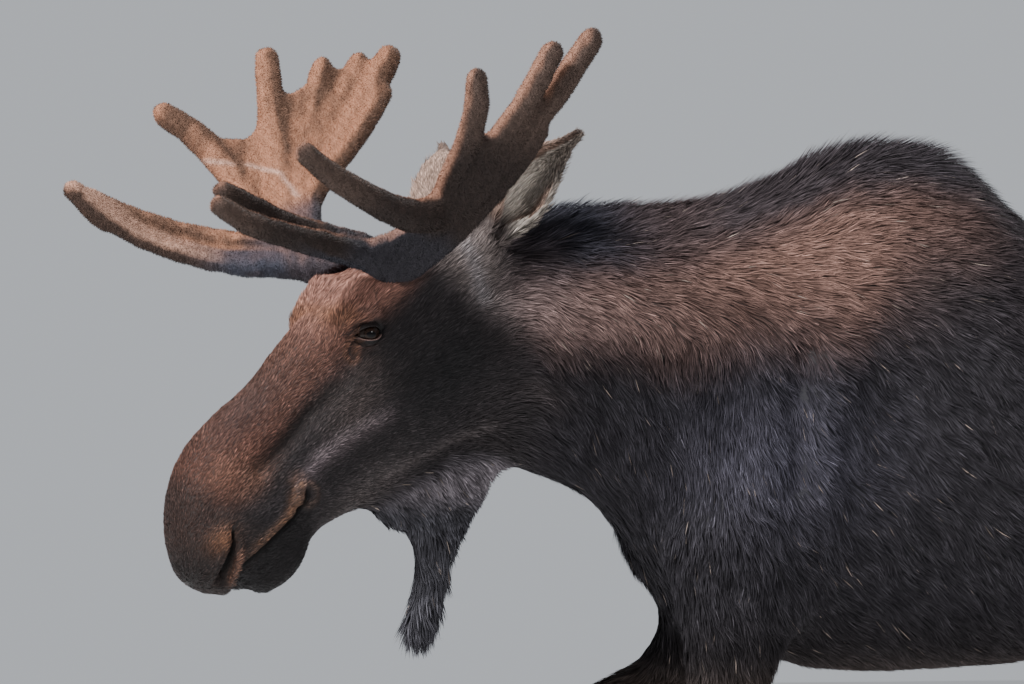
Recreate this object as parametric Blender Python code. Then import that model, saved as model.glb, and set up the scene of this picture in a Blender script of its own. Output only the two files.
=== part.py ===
"""Bull moose in velvet, life size, walking: three feet stand, the right fore foot is lifted.

Metres, +Z up. The animal faces -Y and its left side is +X. Every outline is the outline of
the coat. The flesh is modelled as one closed body from lofted sections, and then parted
into named pieces by thin cuts.
"""
import bpy
import bmesh
import math
from mathutils import Matrix, Vector

for old in list(bpy.data.objects):
    bpy.data.objects.remove(old, do_unlink=True)

# ------------------------------------------------------------------ driving dimensions
GAP = 0.0005            # clearance left by every cut
VOXEL = 0.006           # grain of the flesh body before it is thinned out
FLESH_TRIANGLES = 4300
ANTLER_TRIANGLES = 700

POLL = Vector((0.05, -0.807, 1.677))    # top of the skull between the ears
HEAD_PITCH = math.radians(43)    # nose below the horizontal
HEAD_YAW = math.radians(10)      # head turned to the animal's left

CARPUS_HEIGHT = 0.60
HOCK_HEIGHT = 0.66

EYE_RADIUS = 0.0205
EYE_PLACE = (0.237, 0.050, 0.1070)      # along the nose, out of the forehead, to the side

HOOF_WIDTH = 0.050      # of one claw

# Head frame: a runs along the nose, n out of the forehead, l to the animal's left.
LEFTWARD = Vector((math.cos(HEAD_YAW), math.sin(HEAD_YAW), 0.0))
FORWARD = Vector((math.sin(HEAD_YAW), -math.cos(HEAD_YAW), 0.0))
ALONG = FORWARD * math.cos(HEAD_PITCH) + Vector((0, 0, -math.sin(HEAD_PITCH)))
NORMAL = LEFTWARD.cross(ALONG).normalized()
if NORMAL.z < 0:
    NORMAL = -NORMAL


def head_point(a, n, l):
    """World place of a point given in the head frame."""
    return POLL + ALONG * a + NORMAL * n + LEFTWARD * l


def body_point(x, ahead, z):
    """World place of a point given by its side, its distance ahead of the hump and its height."""
    return Vector((x, -ahead, z))


# ------------------------------------------------------------------ materials
def material(name, colour, roughness, metallic=0.0):
    made = bpy.data.materials.new(name)
    made.use_nodes = True
    shader = made.node_tree.nodes["Principled BSDF"]
    shader.inputs["Base Color"].default_value = (*colour, 1.0)
    shader.inputs["Roughness"].default_value = roughness
    shader.inputs["Metallic"].default_value = metallic
    made.diffuse_color = (*colour, 1.0)
    return made


COAT_DARK = (0.030, 0.022, 0.018)
COAT_BROWN = (0.075, 0.046, 0.030)
COAT_FACE = (0.070, 0.036, 0.024)
COAT_LEG = (0.110, 0.085, 0.066)
EAR_HAIR = (0.230, 0.170, 0.125)
VELVET = (0.210, 0.115, 0.080)
HORN_BLACK = (0.020, 0.017, 0.015)
EYE_DARK = (0.012, 0.008, 0.006)


# ------------------------------------------------------------------ building helpers
def spline(stations, steps):
    """Catmull-Rom through a list of equal-length tuples, steps points to a span."""
    rows = [tuple(s) for s in stations]
    padded = [rows[0]] + rows + [rows[-1]]
    out = []
    for i in range(1, len(padded) - 2):
        for k in range(steps):
            t = k / steps
            row = []
            for p0, p1, p2, p3 in zip(padded[i - 1], padded[i], padded[i + 1], padded[i + 2]):
                row.append(0.5 * (2 * p1 + (p2 - p0) * t + (2 * p0 - 5 * p1 + 4 * p2 - p3) * t * t
                                  + (3 * p1 - p0 - 3 * p2 + p3) * t * t * t))
            out.append(tuple(row))
    out.append(rows[-1])
    return out


def superpower(value, power):
    return math.copysign(abs(value) ** (2.0 / power), value)


def loft(bm, rings):
    """Joins rings of equal count into one closed tube."""
    loops = [[bm.verts.new(p) for p in ring] for ring in rings]
    count = len(loops[0])
    faces = []
    for one, two in zip(loops, loops[1:]):
        for i in range(count):
            j = (i + 1) % count
            faces.append(bm.faces.new((one[i], one[j], two[j], two[i])))
    faces.append(bm.faces.new(list(reversed(loops[0]))))
    faces.append(bm.faces.new(loops[-1]))
    return faces


def body_loft(bm, stations, steps=4, count=40):
    """Upright sections across the animal: ahead, side shift, top, underside, height of the
    widest part, half width, squareness."""
    rings = []
    for ahead, x, top, low, wide, half, power in spline(stations, steps):
        ring = []
        for i in range(count):
            angle = 2 * math.pi * i / count
            c = superpower(math.cos(angle), power)
            s = superpower(math.sin(angle), power)
            reach = top - wide if s > 0 else wide - low
            ring.append(body_point(x + half * c, ahead, wide + reach * s))
        rings.append(ring)
    return loft(bm, rings)


def head_loft(bm, stations, steps=4, count=36):
    """Sections across the head: a, upper edge, lower edge, level of the widest part, half
    width, squareness."""
    rings = []
    for a, top, low, wide, half, power in spline(stations, steps):
        ring = []
        for i in range(count):
            angle = 2 * math.pi * i / count
            c = superpower(math.cos(angle), power)
            s = superpower(math.sin(angle), power)
            reach = top - wide if s > 0 else wide - low
            ring.append(head_point(a, wide + reach * s, half * c))
        rings.append(ring)
    return loft(bm, rings)


def limb_loft(bm, stations, steps=4, count=24):
    """A leg: side, ahead, height, half depth in front, half depth behind, half width. Its
    sections stand square to its own line."""
    rows = spline(stations, steps)
    rings = []
    for i, (x, ahead, z, front, back, side) in enumerate(rows):
        before = body_point(*rows[max(i - 1, 0)][:3])
        after = body_point(*rows[min(i + 1, len(rows) - 1)][:3])
        run = (after - before).normalized()
        across = Vector((1, 0, 0))
        fore = across.cross(run).normalized()
        if fore.y > 0 and abs(fore.y) > 0.2:
            fore = -fore
        across = run.cross(fore).normalized()
        if across.x < 0:
            across = -across
        here = body_point(x, ahead, z)
        ring = []
        for k in range(count):
            angle = 2 * math.pi * k / count
            c, s = math.cos(angle), math.sin(angle)
            reach = front if c > 0 else back
            ring.append(here + fore * (reach * c) + across * (side * s))
        rings.append(ring)
    return loft(bm, rings)


def tube(bm, rows, steps=4, count=12):
    """A round rib along rows of x, y, z, radius with a domed end."""
    rows = spline(rows, steps)
    rings = []
    side = None
    for i, (x, y, z, radius) in enumerate(rows):
        run = Vector(rows[min(i + 1, len(rows) - 1)][:3]) - Vector(rows[max(i - 1, 0)][:3])
        run.normalize()
        side = run.orthogonal() if side is None else side - run * side.dot(run)
        side.normalize()
        other = run.cross(side)
        ring = []
        for k in range(count):
            angle = 2 * math.pi * k / count
            ring.append(Vector((x, y, z)) + side * (radius * math.cos(angle))
                        + other * (radius * math.sin(angle)))
        rings.append(ring)
    tip = Vector(rows[-1][:3])
    run = (tip - Vector(rows[-2][:3])).normalized()
    radius = rows[-1][3]
    last = rings[-1]
    for angle in (0.5, 1.0, 1.35):
        shrink = math.cos(angle)
        rings.append([tip + (p - tip) * shrink + run * (radius * math.sin(angle)) for p in last])
    return loft(bm, rings)


def ball(bm, place, radii, turn=None, segments=24):
    """An ellipsoid of flesh; turn is a 3x3 matrix whose columns are its own axes."""
    made = bmesh.ops.create_uvsphere(bm, u_segments=segments, v_segments=segments // 2, radius=1.0)
    scale = Matrix.Diagonal((*radii, 1.0))
    spin = turn.to_4x4() if turn is not None else Matrix.Identity(4)
    bmesh.ops.transform(bm, matrix=Matrix.Translation(place) @ spin @ scale, verts=made["verts"])


def from_axes(x_axis, y_axis, z_axis):
    return Matrix((x_axis, y_axis, z_axis)).transposed()


def mesh_object(name, bm):
    bmesh.ops.recalc_face_normals(bm, faces=bm.faces)
    mesh = bpy.data.meshes.new(name)
    bm.to_mesh(mesh)
    bm.free()
    made = bpy.data.objects.new(name, mesh)
    bpy.context.scene.collection.objects.link(made)
    return made


def baked(source, name):
    """A plain mesh object with source's modifiers applied; source is removed."""
    graph = bpy.context.evaluated_depsgraph_get()
    mesh = bpy.data.meshes.new_from_object(source.evaluated_get(graph))
    bpy.data.objects.remove(source, do_unlink=True)
    made = bpy.data.objects.new(name, mesh)
    bpy.context.scene.collection.objects.link(made)
    return made


def fuse(bm, name, voxel, rounds, triangles, keep_fine=None):
    """Joins overlapping closed shapes into one skin, softens the joins and thins it out."""
    body = mesh_object(name + "_rough", bm)
    joined = body.modifiers.new("join", "REMESH")
    joined.mode = "VOXEL"
    joined.voxel_size = voxel
    soften = body.modifiers.new("soften", "SMOOTH")
    soften.factor = 0.5
    soften.iterations = rounds
    body = baked(body, name + "_dense")
    thin = body.modifiers.new("thin", "DECIMATE")
    thin.ratio = triangles / (2.0 * len(body.data.polygons))
    if keep_fine is not None:
        group = body.vertex_groups.new(name="thin")
        for vertex in body.data.vertices:
            group.add([vertex.index], keep_fine(vertex.co), "REPLACE")
        thin.vertex_group = "thin"
        thin.vertex_group_factor = 1.0
    return baked(body, name)


def wedge(place, turn, size, grow=0.0):
    """A box cutter with its base centre at place, its own z along the third axis of turn."""
    bm = bmesh.new()
    bmesh.ops.create_cube(bm, size=1.0)
    scale = Matrix.Diagonal((size[0] + 2 * grow, size[1] + 2 * grow, size[2] + 2 * grow, 1.0))
    lift = Matrix.Translation((0, 0, size[2] / 2))
    place = Matrix.Translation(place) @ turn.to_4x4() @ lift @ scale
    bmesh.ops.transform(bm, matrix=place, verts=bm.verts)
    return mesh_object("cutter", bm)


def boolean(target, cutter, operation):
    step = target.modifiers.new("cut", "BOOLEAN")
    step.object = cutter
    step.operation = operation
    step.solver = "EXACT"
    return baked(target, target.name)


def copy_of(source, name):
    made = source.copy()
    made.data = source.data.copy()
    made.name = name
    bpy.context.scene.collection.objects.link(made)
    return made


def part_off(whole, name, place, turn, size):
    """Cuts the piece inside a box off whole and returns (piece, rest)."""
    inner = wedge(place, turn, size, -GAP / 2)
    outer = wedge(place, turn, size, GAP / 2)
    piece = boolean(copy_of(whole, name), inner, "INTERSECT")
    rest = boolean(whole, outer, "DIFFERENCE")
    bpy.data.objects.remove(inner, do_unlink=True)
    bpy.data.objects.remove(outer, do_unlink=True)
    piece.name = name
    return piece, rest


# ------------------------------------------------------------------ flesh: trunk and neck
flesh = bmesh.new()
body_loft(flesh, (
    (-1.175, 0.0, 1.420, 1.240, 1.33, 0.070, 2.0),    # buttocks
    (-1.13, 0.0, 1.520, 1.130, 1.33, 0.160, 2.1),
    (-1.03, 0.0, 1.605, 1.060, 1.32, 0.225, 2.2),     # tail head
    (-0.88, 0.0, 1.650, 1.045, 1.32, 0.255, 2.2),     # hips
    (-0.72, 0.0, 1.655, 1.055, 1.33, 0.262, 2.2),     # flank
    (-0.55, 0.0, 1.655, 1.020, 1.33, 0.282, 2.2),     # loin and belly
    (-0.38, 0.0, 1.690, 0.990, 1.32, 0.292, 2.2),
    (-0.24, 0.0, 1.765, 0.970, 1.33, 0.288, 2.1),
    (-0.12, 0.0, 1.880, 0.960, 1.35, 0.275, 2.0),
    (0.00, 0.0, 1.903, 0.955, 1.36, 0.262, 1.9),      # hump
    (0.11, 0.0, 1.884, 0.960, 1.36, 0.252, 1.9),
    (0.22, 0.0, 1.830, 0.985, 1.37, 0.242, 2.0),
    (0.33, 0.005, 1.797, 1.030, 1.40, 0.225, 2.1),    # brisket
    (0.44, 0.012, 1.786, 1.150, 1.46, 0.195, 2.1),    # root of the neck
    (0.54, 0.022, 1.785, 1.258, 1.50, 0.160, 2.1),
    (0.64, 0.032, 1.778, 1.300, 1.52, 0.138, 2.1),
    (0.73, 0.040, 1.740, 1.330, 1.52, 0.125, 2.1),
    (0.81, 0.048, 1.680, 1.370, 1.51, 0.110, 2.0),    # behind the poll
))

# shoulder blades and upper arms
blade_line = (body_point(0, 0.42, 1.15) - body_point(0, 0.02, 1.70)).normalized()
blade_turn = from_axes(Vector((1, 0, 0)), blade_line.cross(Vector((1, 0, 0))), blade_line)
for side in (1, -1):
    ball(flesh, body_point(side * 0.150, 0.19, 1.40), (0.115, 0.190, 0.360), blade_turn)
ball(flesh, body_point(0.160, 0.338, 1.180), (0.105, 0.118, 0.135))
ball(flesh, body_point(-0.160, 0.245, 1.120), (0.105, 0.120, 0.150))
ball(flesh, body_point(0.0, 0.315, 1.12), (0.150, 0.085, 0.120))

# haunches
for side, ahead in ((1, -0.955), (-1, -0.90)):
    ball(flesh, body_point(side * 0.140, ahead, 1.31), (0.122, 0.195, 0.300))

# ------------------------------------------------------------------ flesh: legs
limb_loft(flesh, (                                       # left fore, bearing
    (0.165, 0.290, 1.200, 0.140, 0.150, 0.085),
    (0.165, 0.315, 1.080, 0.128, 0.118, 0.082),
    (0.155, 0.335, 0.960, 0.078, 0.088, 0.066),
    (0.135, 0.338, 0.800, 0.055, 0.062, 0.050),
    (0.120, 0.335, 0.680, 0.048, 0.050, 0.045),
    (0.112, 0.335, 0.600, 0.052, 0.050, 0.050),          # carpus
    (0.106, 0.328, 0.520, 0.040, 0.042, 0.040),
    (0.096, 0.320, 0.380, 0.033, 0.037, 0.034),
    (0.088, 0.318, 0.270, 0.036, 0.046, 0.038),
    (0.084, 0.322, 0.215, 0.042, 0.048, 0.044),          # fetlock
    (0.080, 0.350, 0.150, 0.037, 0.040, 0.042),
    (0.078, 0.378, 0.095, 0.048, 0.050, 0.052),
    (0.078, 0.388, 0.060, 0.050, 0.052, 0.054),
))
limb_loft(flesh, (                                       # right fore, lifted
    (-0.165, 0.270, 1.180, 0.130, 0.150, 0.085),
    (-0.175, 0.255, 1.050, 0.105, 0.120, 0.080),
    (-0.175, 0.325, 0.945, 0.078, 0.100, 0.066),
    (-0.168, 0.460, 0.885, 0.058, 0.062, 0.052),
    (-0.160, 0.590, 0.830, 0.048, 0.050, 0.045),
    (-0.156, 0.665, 0.785, 0.054, 0.042, 0.050),         # carpus, bent
    (-0.152, 0.662, 0.705, 0.042, 0.040, 0.041),
    (-0.146, 0.625, 0.570, 0.033, 0.037, 0.034),
    (-0.142, 0.598, 0.470, 0.037, 0.045, 0.038),
    (-0.140, 0.582, 0.415, 0.042, 0.048, 0.044),         # fetlock
    (-0.140, 0.560, 0.350, 0.037, 0.040, 0.042),
    (-0.140, 0.546, 0.300, 0.048, 0.050, 0.052),
    (-0.140, 0.538, 0.265, 0.050, 0.052, 0.054),
))
limb_loft(flesh, (                                       # left hind, trailing
    (0.150, -0.930, 1.420, 0.180, 0.180, 0.090),
    (0.165, -0.900, 1.220, 0.190, 0.190, 0.098),
    (0.170, -0.900, 1.060, 0.155, 0.150, 0.088),         # stifle
    (0.165, -0.975, 0.910, 0.095, 0.092, 0.064),
    (0.162, -1.060, 0.780, 0.058, 0.072, 0.048),
    (0.160, -1.128, 0.670, 0.055, 0.066, 0.046),         # hock
    (0.160, -1.150, 0.570, 0.044, 0.046, 0.041),
    (0.160, -1.165, 0.420, 0.036, 0.037, 0.035),
    (0.160, -1.175, 0.290, 0.039, 0.045, 0.039),
    (0.160, -1.178, 0.225, 0.044, 0.049, 0.045),         # fetlock
    (0.160, -1.150, 0.155, 0.038, 0.041, 0.043),
    (0.160, -1.122, 0.095, 0.049, 0.051, 0.053),
    (0.160, -1.112, 0.060, 0.051, 0.053, 0.055),
))
limb_loft(flesh, (                                       # right hind, just set down
    (-0.150, -0.880, 1.420, 0.180, 0.180, 0.090),
    (-0.170, -0.830, 1.220, 0.190, 0.190, 0.098),
    (-0.180, -0.775, 1.060, 0.150, 0.150, 0.088),        # stifle
    (-0.185, -0.800, 0.910, 0.094, 0.092, 0.064),
    (-0.190, -0.850, 0.780, 0.058, 0.070, 0.048),
    (-0.195, -0.890, 0.660, 0.054, 0.066, 0.046),        # hock
    (-0.200, -0.865, 0.560, 0.044, 0.046, 0.041),
    (-0.208, -0.810, 0.420, 0.036, 0.037, 0.035),
    (-0.215, -0.762, 0.290, 0.039, 0.045, 0.039),
    (-0.220, -0.740, 0.225, 0.044, 0.049, 0.045),        # fetlock
    (-0.222, -0.700, 0.155, 0.038, 0.041, 0.043),
    (-0.224, -0.668, 0.095, 0.049, 0.051, 0.053),
    (-0.225, -0.658, 0.060, 0.051, 0.053, 0.055),
))
ball(flesh, body_point(0.160, -1.158, 0.725), (0.026, 0.036, 0.055))     # points of the hocks
ball(flesh, body_point(-0.194, -0.925, 0.718), (0.026, 0.036, 0.055))
tube(flesh, (                                            # tail
    (0.0, 1.080, 1.535, 0.044),
    (0.0, 1.160, 1.520, 0.040),
    (0.0, 1.215, 1.470, 0.034),
    (0.0, 1.232, 1.410, 0.030),
    (0.0, 1.234, 1.365, 0.020),
))

# ------------------------------------------------------------------ flesh: head
head_loft(flesh, (
    (-0.060, -0.010, -0.200, -0.090, 0.085, 2.0),        # nape
    (0.020, 0.026, -0.245, -0.080, 0.104, 2.2),
    (0.100, 0.066, -0.262, -0.050, 0.110, 2.4),          # between the pedicles
    (0.180, 0.100, -0.258, -0.020, 0.106, 2.4),
    (0.260, 0.118, -0.245, -0.020, 0.098, 2.4),          # forehead
    (0.340, 0.117, -0.224, -0.040, 0.086, 2.3),
    (0.420, 0.109, -0.198, -0.050, 0.074, 2.3),          # bridge of the nose
    (0.500, 0.115, -0.168, -0.040, 0.070, 2.3),
    (0.580, 0.112, -0.150, -0.030, 0.076, 2.2),
    (0.640, 0.088, -0.140, -0.030, 0.080, 2.2),          # muzzle
    (0.688, 0.050, -0.130, -0.040, 0.074, 2.1),
    (0.724, 0.005, -0.112, -0.050, 0.058, 2.0),
    (0.744, -0.035, -0.085, -0.060, 0.032, 2.0),
))
HEAD_TURN = from_axes(ALONG, LEFTWARD, NORMAL)
ball(flesh, head_point(0.595, -0.148, 0), (0.078, 0.052, 0.047), HEAD_TURN)      # lower lip
ball(flesh, head_point(0.676, -0.074, 0), (0.060, 0.052, 0.062), HEAD_TURN)      # upper lip
for side in (1, -1):
    ball(flesh, head_point(0.658, -0.040, side * 0.048), (0.058, 0.036, 0.050), HEAD_TURN)
    ball(flesh, head_point(0.228, 0.074, side * 0.090), (0.056, 0.036, 0.048), HEAD_TURN)
    ball(flesh, head_point(0.185, 0.092, side * 0.076), (0.052, 0.036, 0.048), HEAD_TURN)
    ball(flesh, head_point(0.190, -0.120, side * 0.070), (0.130, 0.040, 0.095), HEAD_TURN)
    ball(flesh, head_point(0.036, 0.034, side * 0.088), (0.052, 0.040, 0.040), HEAD_TURN)
    ball(flesh, head_point(0.330, -0.030, side * 0.062), (0.120, 0.030, 0.035), HEAD_TURN)
    tube(flesh, (                                        # pedicle
        (*head_point(0.130, 0.030, side * 0.050), 0.042),
        (*head_point(0.122, 0.072, side * 0.088), 0.034),
        (*head_point(0.115, 0.100, side * 0.120), 0.032),
    ))
    tube(flesh, (                                        # root of the ear
        (*head_point(0.030, -0.015, side * 0.060), 0.052),
        (*head_point(-0.015, 0.014, side * 0.094), 0.044),
        (*head_point(-0.062, 0.024, side * 0.118), 0.036),
    ))

# bell: a broad flap under the throat that ends in one strand
bell_rings = []
for ahead, depth, z, half in spline((
    (0.850, 0.150, 1.340, 0.050),
    (0.852, 0.118, 1.270, 0.045),
    (0.853, 0.096, 1.228, 0.038),
    (0.835, 0.056, 1.198, 0.032),
    (0.838, 0.041, 1.155, 0.027),
    (0.846, 0.038, 1.105, 0.025),
    (0.860, 0.041, 1.055, 0.023),
    (0.870, 0.032, 1.020, 0.017),
), 4):
    ring = []
    for k in range(24):
        angle = 2 * math.pi * k / 24
        out = FORWARD * (depth * math.cos(angle)) + LEFTWARD * (half * math.sin(angle))
        ring.append(body_point(0.062, ahead, z) + out)
    bell_rings.append(ring)
loft(flesh, bell_rings)


def keep_fine(place):
    """How readily the thinning may take a point: least on the head."""
    if place.y < -0.83 and place.z > 1.10:
        return 0.35
    if place.z < 0.95:
        return 0.55
    return 1.0


body = fuse(flesh, "flesh", VOXEL, 20, FLESH_TRIANGLES, keep_fine)

# ------------------------------------------------------------------ antlers


def rib(side, *stations):
    """Centre line of a branch in the head frame with its radius; side mirrors it."""
    return [(*head_point(a, n, l * side), radius) for a, n, l, radius in stations]


def web(bm, one, two, reach_one, reach_two, notch, thick, steps=14, across=7):
    """A curved plate between two ribs. It ends at a share of each rib, and at notch midway."""
    rows_one = spline(one, 6)
    rows_two = spline(two, 6)

    def at(rows, share):
        place = share * (len(rows) - 1)
        low = min(int(place), len(rows) - 2)
        t = place - low
        return Vector(rows[low][:3]).lerp(Vector(rows[low + 1][:3]), t)

    grid = []
    for i in range(steps + 1):
        line = []
        for j in range(across + 1):
            v = j / across
            edge = (1 - v) * reach_one + v * reach_two
            edge -= 4 * v * (1 - v) * ((reach_one + reach_two) / 2 - notch)
            u = edge * i / steps
            line.append(at(rows_one, u).lerp(at(rows_two, u), v))
        grid.append(line)
    sides = []
    for sign in (1, -1):
        layer = []
        for i in range(steps + 1):
            line = []
            for j in range(across + 1):
                along = grid[min(i + 1, steps)][j] - grid[max(i - 1, 0)][j]
                aside = grid[i][min(j + 1, across)] - grid[i][max(j - 1, 0)]
                flat = along.cross(aside)
                flat = flat.normalized() if flat.length > 1e-9 else Vector((0, 0, 1))
                taper = 1.0 - 0.35 * i / steps
                line.append(bm.verts.new(grid[i][j] + flat * (sign * thick * taper / 2)))
            layer.append(line)
        sides.append(layer)
    front, back = sides
    for i in range(steps):
        for j in range(across):
            bm.faces.new((front[i][j], front[i][j + 1], front[i + 1][j + 1], front[i + 1][j]))
            bm.faces.new((back[i][j], back[i + 1][j], back[i + 1][j + 1], back[i][j + 1]))
    rim = [(0, j) for j in range(across)]
    rim += [(i, across) for i in range(steps)]
    rim += [(steps, j) for j in range(across, 0, -1)]
    rim += [(i, 0) for i in range(steps, 0, -1)]
    for k, (i, j) in enumerate(rim):
        p, q = rim[(k + 1) % len(rim)]
        bm.faces.new((front[i][j], back[i][j], back[p][q], front[p][q]))


ROOT = (0.140, 0.050, 0.070, 0.034)
BURR = (0.122, 0.088, 0.100, 0.036)

bm = bmesh.new()
beam = ((*ROOT,), (*BURR,), (0.098, 0.112, 0.145, 0.031), (0.072, 0.138, 0.205, 0.030))
left_ribs = {
    "brow_a": rib(1, ROOT, BURR, (0.152, 0.150, 0.140, 0.030), (0.195, 0.204, 0.170, 0.026),
                  (0.240, 0.264, 0.200, 0.025), (0.286, 0.326, 0.230, 0.023),
                  (0.330, 0.392, 0.262, 0.022), (0.358, 0.458, 0.284, 0.020)),
    "brow_b": rib(1, ROOT, BURR, (0.150, 0.165, 0.130, 0.027), (0.195, 0.240, 0.142, 0.023),
                  (0.240, 0.308, 0.152, 0.022), (0.272, 0.380, 0.170, 0.021),
                  (0.304, 0.444, 0.192, 0.019)),
    "palm_1": rib(1, *beam, (0.064, 0.164, 0.258, 0.031), (0.114, 0.206, 0.318, 0.030),
                  (0.156, 0.264, 0.360, 0.027), (0.198, 0.346, 0.402, 0.024),
                  (0.226, 0.416, 0.430, 0.022), (0.237, 0.464, 0.444, 0.021)),
    "palm_2": rib(1, *beam, (0.036, 0.172, 0.270, 0.026), (0.000, 0.221, 0.340, 0.024),
                  (-0.031, 0.264, 0.400, 0.023), (-0.060, 0.308, 0.440, 0.023),
                  (-0.080, 0.342, 0.457, 0.021)),
    "palm_3": rib(1, *beam, (0.024, 0.160, 0.270, 0.026), (-0.042, 0.194, 0.340, 0.024),
                  (-0.119, 0.227, 0.400, 0.023), (-0.181, 0.259, 0.440, 0.023),
                  (-0.220, 0.276, 0.450, 0.022)),
    "palm_4": rib(1, *beam, (0.020, 0.142, 0.262, 0.026), (-0.040, 0.160, 0.322, 0.025),
                  (-0.128, 0.186, 0.376, 0.024), (-0.214, 0.210, 0.410, 0.024),
                  (-0.301, 0.233, 0.422, 0.023)),
    "palm_edge": rib(1, ROOT, BURR, (0.085, 0.092, 0.160, 0.026), (0.045, 0.096, 0.205, 0.023),
                     (-0.010, 0.114, 0.264, 0.020), (-0.075, 0.138, 0.322, 0.020),
                     (-0.140, 0.164, 0.366, 0.020)),
}
for line in left_ribs.values():
    tube(bm, line)
web(bm, left_ribs["brow_a"], left_ribs["brow_b"], 0.52, 0.62, 0.42, 0.036)
web(bm, left_ribs["palm_1"], left_ribs["palm_2"], 0.50, 0.62, 0.46, 0.036)
web(bm, left_ribs["palm_2"], left_ribs["palm_3"], 0.80, 0.76, 0.70, 0.036)
web(bm, left_ribs["palm_3"], left_ribs["palm_4"], 0.86, 0.82, 0.74, 0.036)
web(bm, left_ribs["palm_4"], left_ribs["palm_edge"], 0.72, 1.00, 0.86, 0.032)
web(bm, left_ribs["brow_a"], left_ribs["palm_1"], 0.42, 0.46, 0.40, 0.038)
left_antler = fuse(bm, "antler_left", 0.004, 8, ANTLER_TRIANGLES)

bm = bmesh.new()
beam = ((*ROOT,), (*BURR,), (0.128, 0.140, 0.140, 0.032), (0.122, 0.172, 0.185, 0.029))
right_ribs = {
    "brow_low": rib(-1, ROOT, BURR, (0.170, 0.150, 0.130, 0.031), (0.220, 0.191, 0.155, 0.026),
                    (0.255, 0.231, 0.185, 0.024), (0.287, 0.282, 0.215, 0.023),
                    (0.318, 0.346, 0.246, 0.022), (0.338, 0.414, 0.272, 0.021),
                    (0.340, 0.484, 0.292, 0.021)),
    "brow_high": rib(-1, ROOT, BURR, (0.160, 0.160, 0.140, 0.029), (0.190, 0.215, 0.185, 0.023),
                     (0.218, 0.256, 0.225, 0.020), (0.258, 0.312, 0.252, 0.019),
                     (0.294, 0.382, 0.270, 0.018), (0.326, 0.456, 0.288, 0.018)),
    "palm_1": rib(-1, *beam, (0.120, 0.214, 0.240, 0.026), (0.092, 0.250, 0.320, 0.027),
                  (0.064, 0.300, 0.385, 0.027), (0.055, 0.356, 0.425, 0.026),
                  (0.066, 0.416, 0.446, 0.024)),
    "palm_2": rib(-1, *beam, (0.075, 0.208, 0.250, 0.025), (0.012, 0.230, 0.320, 0.027),
                  (-0.052, 0.264, 0.400, 0.027), (-0.106, 0.304, 0.440, 0.025),
                  (-0.156, 0.346, 0.466, 0.024)),
    "palm_3": rib(-1, *beam, (0.060, 0.202, 0.245, 0.025), (-0.020, 0.214, 0.325, 0.023),
                  (-0.115, 0.228, 0.398, 0.022), (-0.178, 0.248, 0.436, 0.022),
                  (-0.222, 0.268, 0.456, 0.020)),
    "palm_4": rib(-1, *beam, (0.050, 0.196, 0.240, 0.025), (-0.040, 0.200, 0.315, 0.023),
                  (-0.130, 0.202, 0.382, 0.022), (-0.215, 0.210, 0.426, 0.022),
                  (-0.282, 0.224, 0.456, 0.020)),
    "palm_5": rib(-1, *beam, (0.045, 0.188, 0.226, 0.025), (-0.055, 0.182, 0.300, 0.023),
                  (-0.136, 0.180, 0.350, 0.023), (-0.224, 0.184, 0.392, 0.024),
                  (-0.318, 0.200, 0.422, 0.025)),
    "palm_edge": rib(-1, ROOT, BURR, (0.112, 0.152, 0.140, 0.027), (0.082, 0.180, 0.178, 0.023),
                     (0.022, 0.188, 0.225, 0.020), (-0.054, 0.181, 0.272, 0.020),
                     (-0.130, 0.173, 0.315, 0.020), (-0.252, 0.174, 0.385, 0.020)),
}
for line in right_ribs.values():
    tube(bm, line)
web(bm, right_ribs["brow_low"], right_ribs["brow_high"], 0.98, 0.96, 0.96, 0.030)
web(bm, right_ribs["brow_high"], right_ribs["palm_1"], 0.46, 0.60, 0.44, 0.036)
web(bm, right_ribs["palm_1"], right_ribs["palm_2"], 0.90, 0.86, 0.77, 0.036)
web(bm, right_ribs["palm_2"], right_ribs["palm_3"], 0.92, 0.98, 0.87, 0.036)
web(bm, right_ribs["palm_3"], right_ribs["palm_4"], 0.99, 0.99, 0.96, 0.036)
web(bm, right_ribs["palm_4"], right_ribs["palm_5"], 1.00, 0.96, 0.97, 0.036)
web(bm, right_ribs["palm_5"], right_ribs["palm_edge"], 0.96, 1.00, 0.96, 0.032)
right_antler = fuse(bm, "antler_right", 0.004, 8, ANTLER_TRIANGLES)

# ------------------------------------------------------------------ parting the flesh
DOWNWARD = from_axes(Vector((1, 0, 0)), Vector((0, -1, 0)), Vector((0, 0, -1)))


def facing(direction, across=Vector((1, 0, 0))):
    """A turn whose third axis is direction and whose first axis lies near across."""
    third = direction.normalized()
    first = (across - third * across.dot(third)).normalized()
    return from_axes(first, third.cross(first), third)


def head_direction(a, n, l=0.0):
    return ALONG * a + NORMAL * n + LEFTWARD * l


def trim(whole, place, turn, size):
    """Takes away what lies inside a box."""
    cutter = wedge(place, turn, size)
    rest = boolean(whole, cutter, "DIFFERENCE")
    bpy.data.objects.remove(cutter, do_unlink=True)
    return rest


# ears: a cupped leaf, solid at its root, hollow towards the tip
EAR_ROOT = (-0.046, 0.018, 0.110)
EAR_TIP = {1: (-0.256, 0.060, 0.220), -1: (-0.215, 0.076, 0.235)}
EAR_OPENING = {1: (-0.12, -0.08, 0.93), -1: (0.20, 0.00, 0.98)}     # the left ear is turned back


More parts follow.
